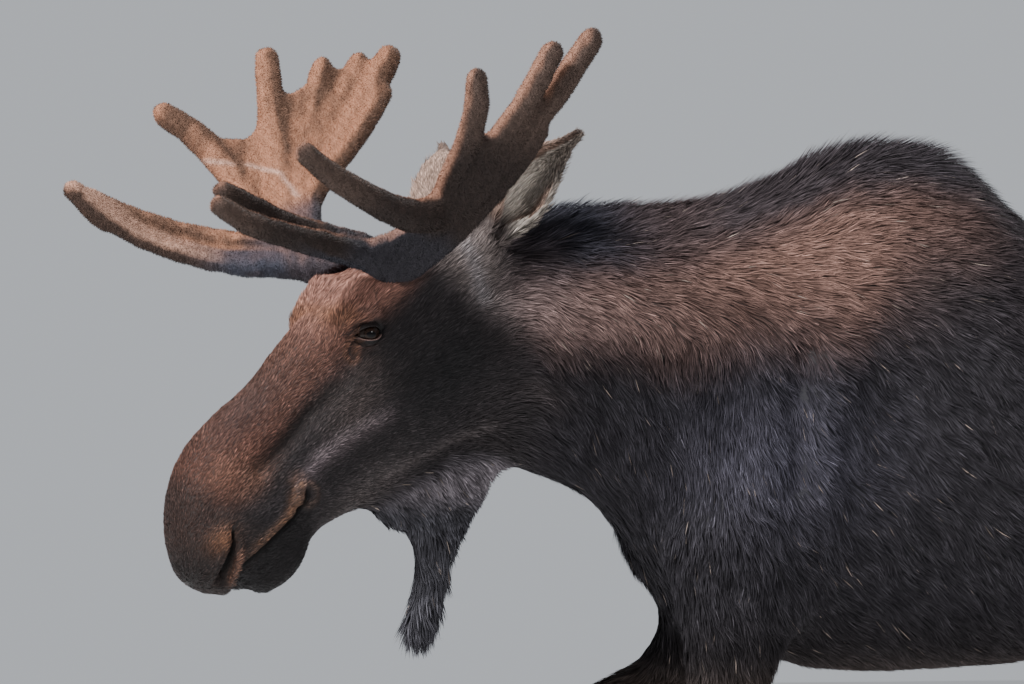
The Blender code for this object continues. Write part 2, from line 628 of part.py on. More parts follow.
def ear(name, side):
    root = head_point(EAR_ROOT[0], EAR_ROOT[1], side * EAR_ROOT[2])
    tip = head_point(EAR_TIP[side][0], EAR_TIP[side][1], side * EAR_TIP[side][2])
    run = (tip - root).normalized()
    opening = head_direction(EAR_OPENING[side][0], EAR_OPENING[side][1], side * EAR_OPENING[side][2])
    opening = (opening - run * opening.dot(run)).normalized()
    aside = run.cross(opening).normalized()
    steps = 7
    across = 6
    layers = []
    for shell in (0, 1):
        rows = []
        for i in range(steps + 1):
            u = i / steps
            half = 0.031 + 0.024 * math.sin(math.pi * min(1.0, u * 1.15)) - 0.020 * max(0.0, u - 0.55) / 0.45
            spread = math.radians(165 - 85 * min(1.0, u * 1.7))
            radius = half / math.sin(min(spread, math.pi / 2))
            if shell:
                thick = 0.012 - 0.006 * u
                radius = max(radius - thick, 0.003) * min(1.0, 0.15 + u * 3.0)
            row = []
            for j in range(across + 1):
                angle = spread * (2 * j / across - 1)
                bend = opening * (0.018 * math.sin(math.pi * u) * -1)
                row.append(root + run * ((tip - root).length * u) + bend
                           - opening * (radius * math.cos(angle)) + aside * (radius * math.sin(angle)))
            rows.append(row)
        layers.append(rows)
    bm = bmesh.new()
    outer, inner = [[[bm.verts.new(p) for p in row] for row in rows] for rows in layers]
    for i in range(steps):
        for j in range(across):
            bm.faces.new((outer[i][j], outer[i][j + 1], outer[i + 1][j + 1], outer[i + 1][j]))
            bm.faces.new((inner[i][j], inner[i + 1][j], inner[i + 1][j + 1], inner[i][j + 1]))
        for j in (0, across):
            bm.faces.new((outer[i][j], outer[i + 1][j], inner[i + 1][j], inner[i][j]))
    for i in (0, steps):
        for j in range(across):
            bm.faces.new((outer[i][j], inner[i][j], inner[i][j + 1], outer[i][j + 1]))
    return mesh_object(name, bm)


parts = {}
for word, side in (("left", 1), ("right", -1)):
    root = head_point(EAR_ROOT[0], EAR_ROOT[1], side * EAR_ROOT[2])
    tip = head_point(EAR_TIP[side][0], EAR_TIP[side][1], side * EAR_TIP[side][2])
    turn = facing(tip - root)
    body = trim(body, root - (tip - root).normalized() * GAP, turn, (0.16, 0.16, 0.20))
    parts["ear_" + word] = ear("ear_" + word, side)

    burr = head_point(BURR[0], BURR[1], side * BURR[2])
    out = burr - head_point(ROOT[0], ROOT[1], side * ROOT[2])
    body = trim(body, burr - out.normalized() * GAP, facing(out), (0.134, 0.134, 0.12))

    bm = bmesh.new()
    bmesh.ops.create_icosphere(bm, subdivisions=2, radius=EYE_RADIUS)
    place = head_point(EYE_PLACE[0], EYE_PLACE[1], side * EYE_PLACE[2])
    bmesh.ops.translate(bm, vec=place, verts=bm.verts)
    parts["eye_" + word] = mesh_object("eye_" + word, bm)
    bm = bmesh.new()
    bmesh.ops.create_icosphere(bm, subdivisions=2, radius=EYE_RADIUS + 2 * GAP)
    bmesh.ops.translate(bm, vec=place, verts=bm.verts)
    socket = mesh_object("cutter", bm)
    body = boolean(body, socket, "DIFFERENCE")
    bpy.data.objects.remove(socket, do_unlink=True)

# ------------------------------------------------------------------ feet


def claw(name, frame, side):
    """One half of a cloven hoof: flat sole, pointed toe, top sloping down to the heel."""
    middle = side * (HOOF_WIDTH / 2 + 0.0015)
    levels = ((0.000, 0.078, 0.050, 0.96), (0.010, 0.080, 0.052, 1.00),
              (0.040, 0.063, 0.050, 0.98), (1.000, 0.044, 0.046, 0.94))
    rings = []
    for height, toe, heel, width in levels:
        ring = []
        for k in range(10):
            angle = 2 * math.pi * k / 10
            c, s = math.cos(angle), math.sin(angle)
            x = (toe if c > 0 else heel) * c
            inward = 0.80 if s * side < 0 else 1.0
            y = middle + HOOF_WIDTH / 2 * width * inward * superpower(s, 2.4 if c < 0 else 1.7)
            z = height if height < 0.5 else 0.068 + 0.25 * x
            ring.append(frame @ Vector((x, y, z)))
        rings.append(ring)
    bm = bmesh.new()
    loft(bm, rings)
    return mesh_object(name, bm)


def dewclaw(name, frame, side, grow):
    bm = bmesh.new()
    bmesh.ops.create_uvsphere(bm, u_segments=6, v_segments=4, radius=1.0)
    place = Matrix.Translation((-0.083, side * 0.026, 0.142)) @ Matrix.Rotation(0.5, 4, "Y")
    scale = Matrix.Diagonal((0.015 + grow, 0.015 + grow, 0.031 + grow, 1.0))
    bmesh.ops.transform(bm, matrix=frame @ place @ scale, verts=bm.verts)
    return mesh_object(name, bm)


def foot(word, coronet, pitch):
    """Trims the pastern square, and adds two claws and two dewclaws under and behind it."""
    global body
    toe = Vector((0, -math.cos(pitch), -math.sin(pitch)))
    up = Vector((0, -math.sin(pitch), math.cos(pitch)))
    across = up.cross(toe)
    origin = coronet + toe * 0.007 - up * 0.095
    frame = Matrix.Translation(origin) @ from_axes(toe, across, up).to_4x4()
    slope = (up - toe * 0.25).normalized()
    turn = from_axes(across, -slope.cross(across), -slope)
    body = trim(body, origin + up * 0.068 + slope * GAP, turn, (0.20, 0.24, 0.14))
    for side, claw_word in ((1, "a"), (-1, "b")):
        parts["hoof_" + word + "_" + claw_word] = claw("hoof_" + word + "_" + claw_word, frame, side)
        name = "dewclaw_" + word + "_" + claw_word
        parts[name] = dewclaw(name, frame, side, 0.0)
        pocket = dewclaw("cutter", frame, side, 0.001)
        body = boolean(body, pocket, "DIFFERENCE")
        bpy.data.objects.remove(pocket, do_unlink=True)


foot("front_left", body_point(0.078, 0.378, 0.095), 0.0)
foot("front_right", body_point(-0.140, 0.546, 0.300), math.radians(38))
foot("hind_left", body_point(0.160, -1.122, 0.095), 0.0)
foot("hind_right", body_point(-0.224, -0.668, 0.095), 0.0)

# ------------------------------------------------------------------ bell, tail, head, neck, legs
parts["bell"], body = part_off(body, "bell", body_point(0.062, 0.845, 1.262),
                               facing(body_point(0, -0.342, -0.940), LEFTWARD), (0.17, 0.262, 0.30))
parts["tail"], body = part_off(body, "tail", body_point(0, -1.188, 1.470),
                               facing(body_point(0, -0.97, -0.10)), (0.14, 0.36, 0.16))
parts["head"], body = part_off(body, "head", head_point(-0.065, -0.130, 0),
                               facing(head_direction(0.832, 0.555), LEFTWARD), (0.60, 1.30, 1.10))
parts["neck"], body = part_off(body, "neck", body_point(0.02, 0.420, 1.530),
                               facing(body_point(0, 0.90, 0.435)), (0.80, 0.85, 0.80))
forearm = body_point(0, 0.914, -0.407)
parts["leg_front_right_upper"], body = part_off(
    body, "leg_front_right_upper", body_point(-0.175, 0.345, 0.605), facing(forearm), (0.25, 0.90, 0.50))
parts["leg_front_left_upper"], body = part_off(
    body, "leg_front_left_upper", body_point(0.12, 0.30, 0.935), DOWNWARD, (0.24, 0.40, 1.00))
parts["leg_hind_left_upper"], body = part_off(
    body, "leg_hind_left_upper", body_point(0.16, -1.05, 1.000), DOWNWARD, (0.28, 0.60, 1.10))
parts["leg_hind_right_upper"], body = part_off(
    body, "leg_hind_right_upper", body_point(-0.20, -0.80, 0.995), DOWNWARD, (0.28, 0.60, 1.10))
body.name = "trunk"
parts["trunk"] = body

for word, ahead, z, direction in (
    ("front_left", 0.335, CARPUS_HEIGHT - 0.045, (0.0, -1.0)),
    ("front_right", 0.664, 0.735, (-0.15, -0.99)),
    ("hind_left", -1.150, HOCK_HEIGHT - 0.045, (-0.15, -0.99)),
    ("hind_right", -0.870, HOCK_HEIGHT - 0.055, (0.30, -0.95)),
):
    upper = parts["leg_" + word + "_upper"]
    x = 0.12 if "left" in word else -0.18
    piece, rest = part_off(upper, "leg_" + word + "_lower", body_point(x, ahead, z),
                           facing(body_point(0, *direction)), (0.40, 0.50, 0.90))
    parts["leg_" + word + "_lower"] = piece
    rest.name = "leg_" + word + "_upper"
    parts["leg_" + word + "_upper"] = rest

# ------------------------------------------------------------------ parting the antlers
for word, side, antler in (("left", 1, left_antler), ("right", -1, right_antler)):
    burr = head_point(BURR[0], BURR[1], side * BURR[2])
    out = burr - head_point(ROOT[0], ROOT[1], side * ROOT[2])
    antler = trim(antler, burr, facing(-out), (0.30, 0.30, 0.20))
    brow_place = (0.168, 0.172, 0.148) if side > 0 else (0.190, 0.190, 0.160)
    piece, antler = part_off(antler, "antler_" + word + "_brow", head_point(brow_place[0], brow_place[1],
                             side * brow_place[2]), facing(head_direction(0.49, 0.83, side * 0.26), LEFTWARD),
                             (0.17, 0.26, 0.55))
    parts[piece.name] = piece
    beam_place = (0.066, 0.150, 0.225) if side > 0 else (0.110, 0.185, 0.205)
    piece, antler = part_off(antler, "antler_" + word + "_palm", head_point(beam_place[0], beam_place[1],
                             side * beam_place[2]), facing(head_direction(-0.45, 0.25, side * 0.85)),
                             (0.70, 0.70, 0.60))
    parts[piece.name] = piece
    antler.name = "antler_" + word + "_beam"
    parts[antler.name] = antler

# ------------------------------------------------------------------ loose chips


def islands(mesh):
    """Groups of faces that hang together."""
    bm = bmesh.new()
    bm.from_mesh(mesh)
    left = set(bm.faces)
    groups = []
    while left:
        stack = [left.pop()]
        group = list(stack)
        while stack:
            for edge in stack.pop().edges:
                for face in edge.link_faces:
                    if face in left:
                        left.remove(face)
                        stack.append(face)
                        group.append(face)
        groups.append(group)
    groups.sort(key=lambda g: -sum(f.calc_area() for f in g))
    return bm, groups


for made in parts.values():
    bm, groups = islands(made.data)
    chips = [face for group in groups[1:] for face in group]
    bmesh.ops.delete(bm, geom=chips, context="FACES")
    bm.to_mesh(made.data)
    bm.free()

# ------------------------------------------------------------------ place and colours
# The origin lies under the middle of the animal's box, at floor level.
corners = [o.matrix_world @ v.co for o in parts.values() for v in o.data.vertices]
middle = Vector([(min(p[i] for p in corners) + max(p[i] for p in corners)) / 2 for i in range(3)])
middle.z = min(p.z for p in corners)
for made in parts.values():
    made.data.transform(Matrix.Translation(-middle))

LOOKS = (
    ("head", COAT_FACE, 0.75), ("neck", COAT_BROWN, 0.8), ("trunk", COAT_DARK, 0.8), ("tail", COAT_BROWN, 0.8),
    ("bell", COAT_DARK, 0.85), ("leg", COAT_LEG, 0.8), ("ear", EAR_HAIR, 0.85), ("antler", VELVET, 0.9),
    ("hoof", HORN_BLACK, 0.45), ("dewclaw", HORN_BLACK, 0.5), ("eye", EYE_DARK, 0.1),
)
for name, made in parts.items():
    colour, roughness = next((c, r) for start, c, r in LOOKS if name.startswith(start))
    made.data.materials.clear()
    made.data.materials.append(material(name + "_surface", colour, roughness))
    made.data.shade_smooth()
    made.data.set_sharp_from_angle(angle=math.radians(50))
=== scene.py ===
import bpy
import bmesh
import math
import numpy as np
from collections import namedtuple
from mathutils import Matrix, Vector


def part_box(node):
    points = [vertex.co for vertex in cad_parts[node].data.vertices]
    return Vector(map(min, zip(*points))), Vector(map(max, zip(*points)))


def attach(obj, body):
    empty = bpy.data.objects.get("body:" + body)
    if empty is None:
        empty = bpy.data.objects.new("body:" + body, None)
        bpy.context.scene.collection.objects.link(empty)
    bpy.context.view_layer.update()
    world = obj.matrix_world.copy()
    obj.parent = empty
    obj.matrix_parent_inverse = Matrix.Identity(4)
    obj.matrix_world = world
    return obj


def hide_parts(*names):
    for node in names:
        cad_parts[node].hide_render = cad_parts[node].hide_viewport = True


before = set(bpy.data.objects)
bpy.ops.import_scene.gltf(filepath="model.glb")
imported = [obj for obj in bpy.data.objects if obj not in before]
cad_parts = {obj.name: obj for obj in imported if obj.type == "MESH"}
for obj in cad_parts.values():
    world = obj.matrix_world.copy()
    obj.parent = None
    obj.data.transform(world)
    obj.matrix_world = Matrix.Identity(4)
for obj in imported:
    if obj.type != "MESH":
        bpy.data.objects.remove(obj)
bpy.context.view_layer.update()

# ---------------------------------------------------------------- skin
# The hide of the whole animal, one closed skin from the nose to the tail and down to the
# hooves. It is the flesh solids fused, smoothed and drawn in by the depth of the coat, so the
# coat's tips reach the solids' outline.


def fused(nodes, name, grain, push=0.001):
    """One closed mesh object grown from the named solids. Each is swollen by push, which closes
    the thin cuts between them, and all are remeshed together at the given grain."""
    whole = bmesh.new()
    for node in sorted(nodes):
        piece = bmesh.new()
        piece.from_mesh(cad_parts[node].data)
        bmesh.ops.remove_doubles(piece, verts=piece.verts, dist=1e-5)
        piece.normal_update()
        for vertex in piece.verts:
            vertex.co += vertex.normal * push
        held = bpy.data.meshes.new("held")
        piece.to_mesh(held)
        piece.free()
        whole.from_mesh(held)
        bpy.data.meshes.remove(held)
    mesh = bpy.data.meshes.new(name)
    whole.to_mesh(mesh)
    whole.free()
    rough = bpy.data.objects.new(name + "_rough", mesh)
    bpy.context.scene.collection.objects.link(rough)
    fuse = rough.modifiers.new("fuse", "REMESH")
    fuse.mode = "VOXEL"
    fuse.voxel_size = grain
    mesh = bpy.data.meshes.new_from_object(rough.evaluated_get(bpy.context.evaluated_depsgraph_get()))
    bpy.data.objects.remove(rough, do_unlink=True)
    made = bpy.data.objects.new(name, mesh)
    bpy.context.scene.collection.objects.link(made)
    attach(made, "root")
    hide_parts(*nodes)
    return made


def mesh_arrays(mesh):
    """The points of a mesh, and the two points that each edge joins."""
    co = np.empty(len(mesh.vertices) * 3)
    mesh.vertices.foreach_get("co", co)
    edges = np.empty(len(mesh.edges) * 2, int)
    mesh.edges.foreach_get("vertices", edges)
    return co.reshape(-1, 3), edges.reshape(-1, 2)


def relax(co, edges, weight, rounds):
    """Moves each point towards the mean of its neighbours, or away from it if weight is negative."""
    count = len(co)
    links = np.bincount(edges.ravel(), minlength=count)
    for _ in range(rounds):
        for k in range(3):
            total = np.bincount(edges[:, 0], co[edges[:, 1], k], count)
            total += np.bincount(edges[:, 1], co[edges[:, 0], k], count)
            co[:, k] += weight * (total / links - co[:, k])
    return co


def soften(co, edges, rounds, back):
    """Smooths without shrinking: each move inward is followed by one outward."""
    for _ in range(rounds):
        relax(co, edges, 0.5, 1)
        relax(co, edges, back, 1)


FLESH_WORDS = ("head", "neck", "trunk", "tail", "bell", "leg")
FLESH = [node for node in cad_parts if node.split("_")[0] in FLESH_WORDS]
SKIN_GRAIN = 0.017
skin = fused(FLESH, "skin", SKIN_GRAIN)
mesh = skin.data
co, edges = mesh_arrays(mesh)
soften(co, edges, 4, -0.52)


# Places on the animal are read in two frames, in metres. The head's axes come from the two eyes:
# a runs down the nose, n out of the forehead and l to the animal's left. They start at the poll,
# which is found back from the eyes. The body's are x to the left, ahead from the hump, and z up.
def middle_of(node):
    """The middle of a node's box."""
    low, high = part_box(node)
    return (low + high) / 2


eye_left, eye_right = middle_of("eye_left"), middle_of("eye_right")
HEAD_PITCH = math.radians(43)  # how far the nose points below the level
LEFTWARD = (eye_left - eye_right).normalized()
FORWARD = Vector((LEFTWARD.y, -LEFTWARD.x, 0))
ALONG = FORWARD * math.cos(HEAD_PITCH) - Vector((0, 0, math.sin(HEAD_PITCH)))
NORMAL = LEFTWARD.cross(ALONG).normalized()
NORMAL = NORMAL if NORMAL.z > 0 else -NORMAL
HEAD_AXES = np.array([ALONG, NORMAL, LEFTWARD])
EYE_A, EYE_N, EYE_L = 0.237, 0.050, (eye_left - eye_right).length / 2
EYE_RADIUS = (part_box("eye_left")[1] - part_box("eye_left")[0]).z / 2
POLL = (eye_left + eye_right) / 2 - ALONG * EYE_A - NORMAL * EYE_N
POLL_TO_HUMP = (-0.05, 0.807)
HUMP = Vector((POLL.x + POLL_TO_HUMP[0], POLL.y + POLL_TO_HUMP[1], 0.0))


def head_frame(co):
    """Places as a, n and l."""
    return ((co - np.array(POLL)) @ HEAD_AXES.T).T


def head_place(a, n, l):
    """The place of one a, n and l."""
    return np.array(POLL) + np.array([a, n, l]) @ HEAD_AXES


def body_frame(co):
    """Places as x, ahead and z."""
    return co[:, 0] - HUMP.x, HUMP.y - co[:, 1], co[:, 2]


def ease(low, high, value):
    """A smooth step from 0 at low to 1 at high, either way round."""
    t = np.clip((value - low) / (high - low), 0, 1)
    return t * t * (3 - 2 * t)


def bump(value, middle, spread):
    """1 at the middle, fading on both sides."""
    return np.exp(-((value - middle) / spread) ** 2)


def bell_share(co):
    """1 on the bell and its root under the jaw."""
    x, ahead, z = body_frame(co)
    top = np.interp(ahead, (0.70, 0.74, 0.82, 0.98, 1.03), (1.330, 1.342, 1.338, 1.252, 1.220))
    between = ease(0.69, 0.73, ahead) * ease(1.06, 1.00, ahead)
    return ease(0.012, -0.012, z - top) * ease(0.97, 1.0, z) * between


def past_jaw(a, n):
    """Distance in front of the slanting plane that runs down behind the cheek."""
    return (a + 0.065) * 0.832 + (n + 0.130) * 0.555


def head_share(co):
    """1 on the head, 0 behind the jaw and on the lifted leg."""
    a, n, l = head_frame(co)
    x, ahead, z = body_frame(co)
    clear_of_leg = np.maximum(ease(1.16, 1.22, z), ease(0.76, 0.80, ahead))
    return ease(0.01, 0.12, past_jaw(a, n)) * clear_of_leg * (1 - bell_share(co))


def leg_share(co):
    """1 on the legs, 0 from the elbow up."""
    x, ahead, z = body_frame(co)
    return ease(1.03, 0.90, z) * (1 - bell_share(co)) * ease(0.86, 0.80, ahead)


on_head = head_share(co)
on_leg = leg_share(co)
relax(co, edges, 0.55 * (1 - on_head) * (1 - on_leg) * (1 - bell_share(co)), 11)
relax(co, edges, 0.4 * (1 - on_leg), 2)
mesh.vertices.foreach_set("co", co.ravel())


def vertex_normals(mesh):
    """The direction in which each point of a mesh faces, from its last put places."""
    mesh.update()
    normal = np.empty(len(mesh.vertices) * 3)
    mesh.vertex_normals.foreach_get("vector", normal)
    return normal.reshape(-1, 3)


def distance_to_line(points, line):
    """Distance of points from a polyline, in any number of dimensions, and the share along it."""
    best = np.full(len(points), 1e9)
    share = np.zeros(len(points))
    for i, (start, end) in enumerate(zip(line[:-1], line[1:])):
        start, end = np.array(start), np.array(end)
        run = end - start
        t = np.clip((points - start) @ run / (run @ run), 0, 1)
        gap = np.linalg.norm(points - start - t[:, None] * run, axis=1)
        nearer = gap < best
        best[nearer] = gap[nearer]
        share[nearer] = (i + t[nearer]) / (len(line) - 1)
    return best, share


def near_line(points, line, spread):
    """1 on a line, fading with the distance from it."""
    return bump(distance_to_line(points, line)[0], 0, spread)


# Muscles under the hide: height, spread, and a line of places ahead of the hump and above the
# ground. In turn: the groove down the shoulder, the swells behind and before it, the groove
# between shoulder and neck, and the groove and ridge along the side of the neck.
MUSCLES = ((-0.014, 0.020, ((0.215, 1.530), (0.246, 1.430), (0.238, 1.290))),
           (0.013, 0.026, ((0.150, 1.500), (0.200, 1.400), (0.195, 1.280))),
           (0.008, 0.030, ((0.285, 1.530), (0.300, 1.420), (0.300, 1.260))),
           (-0.011, 0.030, ((0.460, 1.480), (0.445, 1.400), (0.400, 1.260))),
           (-0.008, 0.030, ((0.560, 1.440), (0.720, 1.450), (0.820, 1.440))),
           (0.006, 0.035, ((0.560, 1.520), (0.720, 1.530), (0.820, 1.520))))
THROAT_LINE = ((0.990, 1.262), (0.900, 1.312), (0.823, 1.350), (0.740, 1.352))
JAW_LINE = ((0.942, 1.311), (0.878, 1.341), (0.832, 1.367), (0.760, 1.390))
normal = vertex_normals(mesh)
x, ahead, z = body_frame(co)
flank = np.stack([ahead, z], 1)
form = np.zeros(len(co))
for height, spread, line in MUSCLES:
    form += height * near_line(flank, line, spread)
form *= ease(0.10, 0.16, np.abs(x)) * (1 - on_head)
on_side = ease(0.02, 0.05, np.abs(x))
form -= 0.010 * near_line(flank, THROAT_LINE, 0.012) * on_side
form += 0.006 * near_line(flank, JAW_LINE, 0.012) * on_side
co += normal * form[:, None]
mesh.vertices.foreach_set("co", co.ravel())

# The face is divided finer for its folds, and finest round the eyes, nostrils and lips. Its
# lines are places (a, n) on the side of the head.
LIP_LINE = ((0.490, -0.080), (0.505, -0.092), (0.540, -0.101), (0.607, -0.099), (0.668, -0.094),
            (0.690, -0.116), (0.692, -0.150))
NOSTRIL_LINE = ((0.640, -0.027), (0.658, -0.050), (0.676, -0.064), (0.693, -0.078), (0.710, -0.094))
TEAR_LINE = ((0.258, 0.060), (0.268, 0.057), (0.277, 0.050), (0.283, 0.041), (0.285, 0.031))
CREST_LINE = ((0.262, -0.090), (0.300, -0.084), (0.345, -0.072), (0.385, -0.062), (0.439, -0.058),
              (0.490, -0.062))
HOLLOW_LINE = ((0.345, 0.014), (0.400, 0.012), (0.450, 0.005), (0.516, 0.004), (0.554, 0.010))
MOUTH = LIP_LINE[:5]
MOUTH_CORNER = (0.497, -0.088)


def above_lips(a, n):
    """1 on the upper lip's side of the mouth, 0 on the chin's side."""
    line = np.interp(a, [p[0] for p in MOUTH], [p[1] for p in MOUTH])
    return np.where(a < 0.690, ease(-0.002, 0.002, n - line), 1.0)


def eye_frame(co):
    """Along the lids, across them, outward from the ball's middle, and 1 on the almond's edge."""
    a, n, l = head_frame(co)
    tilt = math.radians(36)
    p = (a - EYE_A) * math.cos(tilt) + (n - EYE_N) * math.sin(tilt)
    q = -(a - EYE_A) * math.sin(tilt) + (n - EYE_N) * math.cos(tilt)
    half_length = np.where(p > 0, 0.0225, 0.0190)
    half_height = np.where(q > 0, 0.0115, 0.0105)
    return p, q, np.abs(l) - EYE_L, np.hypot(p / half_length, q / half_height)


def divide(mesh, pick):
    """Splits every edge whose two ends are both picked."""
    work = bmesh.new()
    work.from_mesh(mesh)
    co = np.array([v.co for v in work.verts])
    chosen = pick(co)
    edges = [e for e in work.edges if chosen[e.verts[0].index] and chosen[e.verts[1].index]]
    bmesh.ops.subdivide_edges(work, edges=edges, cuts=1, use_grid_fill=True, smooth=0.0)
    work.to_mesh(mesh)
    work.free()


def near_face(co):
    """Points of the face, to be divided finer."""
    a, n, l = head_frame(co)
    return (a > 0.02) & (a < 0.80) & (n > -0.27) & (np.abs(l) < 0.17) & (past_jaw(a, n) > 0.09)


def near_detail(co):
    """Points round the eyes, the lips and the nostrils."""
    a, n, l = head_frame(co)
    eye = np.sqrt((a - EYE_A - 0.01) ** 2 + (n - EYE_N) ** 2 + (np.abs(l) - EYE_L) ** 2) < 0.054
    flat = np.stack([a, n], 1)
    lip = (distance_to_line(flat, LIP_LINE)[0] < 0.020) & (a > 0.47)
    nostril = (distance_to_line(flat, NOSTRIL_LINE)[0] < 0.026) & (np.abs(l) > 0.030)
    return eye | lip | nostril


def near_eye(co):
    """Points of the lids and right round them."""
    a, n, l = head_frame(co)
    return np.sqrt((a - EYE_A) ** 2 + (n - EYE_N) ** 2 + (np.abs(l) - EYE_L) ** 2) < 0.036


divide(mesh, near_face)
divide(mesh, near_face)
co, edges = mesh_arrays(mesh)
a, n, l = head_frame(co)
relax(co, edges, 0.5 * ease(0.0, 0.06, a) * ease(-0.33, -0.27, n), 10)
mesh.vertices.foreach_set("co", co.ravel())
divide(mesh, near_detail)
divide(mesh, near_eye)
co, edges = mesh_arrays(mesh)


# The skin is drawn in by the depth of the coat. That is the length of its hair, from 8 mm on
# the muzzle to 82 mm on the crest, times the sine of the angle at which the hair stands.
def coat_length(co, normal):
    """Length of the hair in metres, from place and facing."""
    x, ahead, z = body_frame(co)
    a, n, l = head_frame(co)
    on_head, on_leg, on_bell = head_share(co), leg_share(co), bell_share(co)
    length = np.full(len(co), 0.040)
    crest = bump(x, 0.05 * ease(0.3, 0.8, ahead), 0.075) * ease(0.15, 0.6, normal[:, 2])
    crest *= ease(-0.42, -0.10, ahead)
    length += crest * (0.030 + 0.012 * bump(ahead, 0.0, 0.25))
    length += 0.012 * ease(0.35, 0.6, ahead) * ease(1.45, 1.30, z)
    length += (0.026 - 0.012 * ease(0.75, 0.30, z) - length) * on_leg
    face = 0.020 - 0.010 * ease(0.05, 0.35, a) - 0.002 * ease(0.52, 0.62, a)
    face += 0.006 * ease(-0.16, -0.22, n) * ease(0.3, 0.1, a)
    length += (face - length) * on_head
    length += (0.022 + 0.034 * ease(1.24, 1.14, z) * ease(0.93, 0.89, ahead) - length) * on_bell
    return length


def coat_lift(co, normal):
    """How steeply the hair stands off the skin, in radians."""
    x, ahead, z = body_frame(co)
    on_head, on_leg, on_bell = head_share(co), leg_share(co), bell_share(co)
    lift = np.full(len(co), math.radians(11))
    crest = bump(x, 0.0, 0.08) * ease(0.15, 0.6, normal[:, 2]) * ease(-0.42, -0.10, ahead)
    lift += crest * math.radians(18)
    lift += (math.radians(10) - lift) * on_leg
    lift += (math.radians(17) - lift) * on_head
    lift += (math.radians(15) - lift) * on_bell
    return lift


def ear_axis(word):
    """Where the ear leaves the head, and the direction in which it runs to its tip."""
    side = 1 if word == "left" else -1
    root = head_place(-0.046, 0.018, side * 0.110)
    tip = head_place(*((-0.256, 0.060, 0.220) if side > 0 else (-0.215, 0.076, -0.235)))
    return root, (tip - root) / np.linalg.norm(tip - root)


normal = vertex_normals(mesh)
standing = coat_length(co, normal) * np.sin(coat_lift(co, normal))
depth = standing * (0.95 - 0.35 * bell_share(co)) + 0.001
# The depth is evened out like a place, in three equal columns.
depth = np.repeat(depth[:, None], 3, 1)
relax(depth, edges, 0.5, 8)
# Round the hooves, the dewclaws and the roots of the ears it swells past the solids a little,
# so that it meets the horn and the ear.
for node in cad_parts:
    if node.startswith(("hoof", "dewclaw")):
        gap = np.linalg.norm(co - np.array(middle_of(node)), axis=1)
        reach = 0.105 if node.startswith("hoof") else 0.042
        depth += (-0.003 - depth) * ease(reach, 0.55 * reach, gap)[:, None]
for word in ("left", "right"):
    gap = np.linalg.norm(co - ear_axis(word)[0], axis=1)
    depth += (-0.001 - depth) * ease(0.060, 0.036, gap)[:, None]
co -= normal * depth[:, :1]
mesh.vertices.foreach_set("co", co.ravel())


# Folds of the face. First the cheek crest and the hollows above and below it, the swell and
# dip over the nostril, the fold under the eye, the tear trough and the crease of the brow.
def spot(a, n, at, radius, stretch=1):
    """1 at a place on the side of the head, fading with the distance from it."""
    return bump(np.hypot((a - at[0]) / stretch, n - at[1]), 0, radius)


normal = vertex_normals(mesh)
a, n, l = head_frame(co)
flat = np.stack([a, n], 1)
side = np.sign(l)
outward = ease(0.02, 0.045, np.abs(l))
push = np.zeros(len(co))
gap, share = distance_to_line(flat, CREST_LINE)
push += outward * 0.010 * bump(gap, 0, 0.013) * ease(1.02, 0.8, share) * ease(0.0, 0.2, share)
gap, share = distance_to_line(flat, HOLLOW_LINE)
push -= outward * 0.011 * bump(gap, 0, 0.018) * ease(0.0, 0.25, share) * ease(1.0, 0.85, share)
push -= outward * 0.007 * near_line(flat, ((0.290, -0.118), (0.365, -0.106), (0.440, -0.100)), 0.018)
push += outward * 0.005 * spot(a, n, (0.585, 0.040), 0.030)
push -= outward * 0.004 * spot(a, n, (0.635, 0.012), 0.016)
push += outward * 0.003 * near_line(flat, ((0.262, 0.010), (0.290, -0.004), (0.325, -0.010)), 0.010)
gap, share = distance_to_line(flat, TEAR_LINE)
push -= outward * 0.005 * bump(gap, 0, 0.0045) * (1 - 0.5 * share)
push += outward * 0.002 * bump(gap, 0.010, 0.005) * (1 - share)
push -= outward * 0.003 * near_line(flat, ((0.180, 0.096), (0.197, 0.072)), 0.004)

# The parted lips with a soft roll on each side, and two folds round the corner of the mouth.
gap = distance_to_line(flat, LIP_LINE)[0]
lips = ease(0.475, 0.495, a)
upper = above_lips(a, n)
push -= lips * 0.010 * bump(gap, 0, 0.0045)
push += lips * upper * 0.0040 * bump(gap, 0.012, 0.010)
push += lips * (1 - upper) * 0.0020 * bump(gap, 0.014, 0.009)
corner = np.hypot(a - MOUTH_CORNER[0], n - MOUTH_CORNER[1])
push += outward * 0.0030 * bump(corner, 0.016, 0.007) * ease(0.56, 0.52, a)
push -= outward * 0.0020 * bump(corner, 0.030, 0.007) * ease(0.56, 0.52, a)

# The nostrils: a comma-shaped slit that widens forward, with a raised rim.
gap, share = distance_to_line(flat, NOSTRIL_LINE)
nose = ease(0.030, 0.044, np.abs(l)) * ease(-0.14, -0.11, n)
width = 0.0035 + 0.0095 * share ** 1.4
push -= nose * (0.012 + 0.012 * share) * bump(gap, 0, width) * ease(-0.02, 0.12, share)
push += nose * 0.0045 * bump(gap, width + 0.009, 0.007) * ease(0.05, 0.45, share)
push += outward * 0.0055 * spot(a, n, (0.672, -0.028), 0.020)
co += normal * push[:, None]

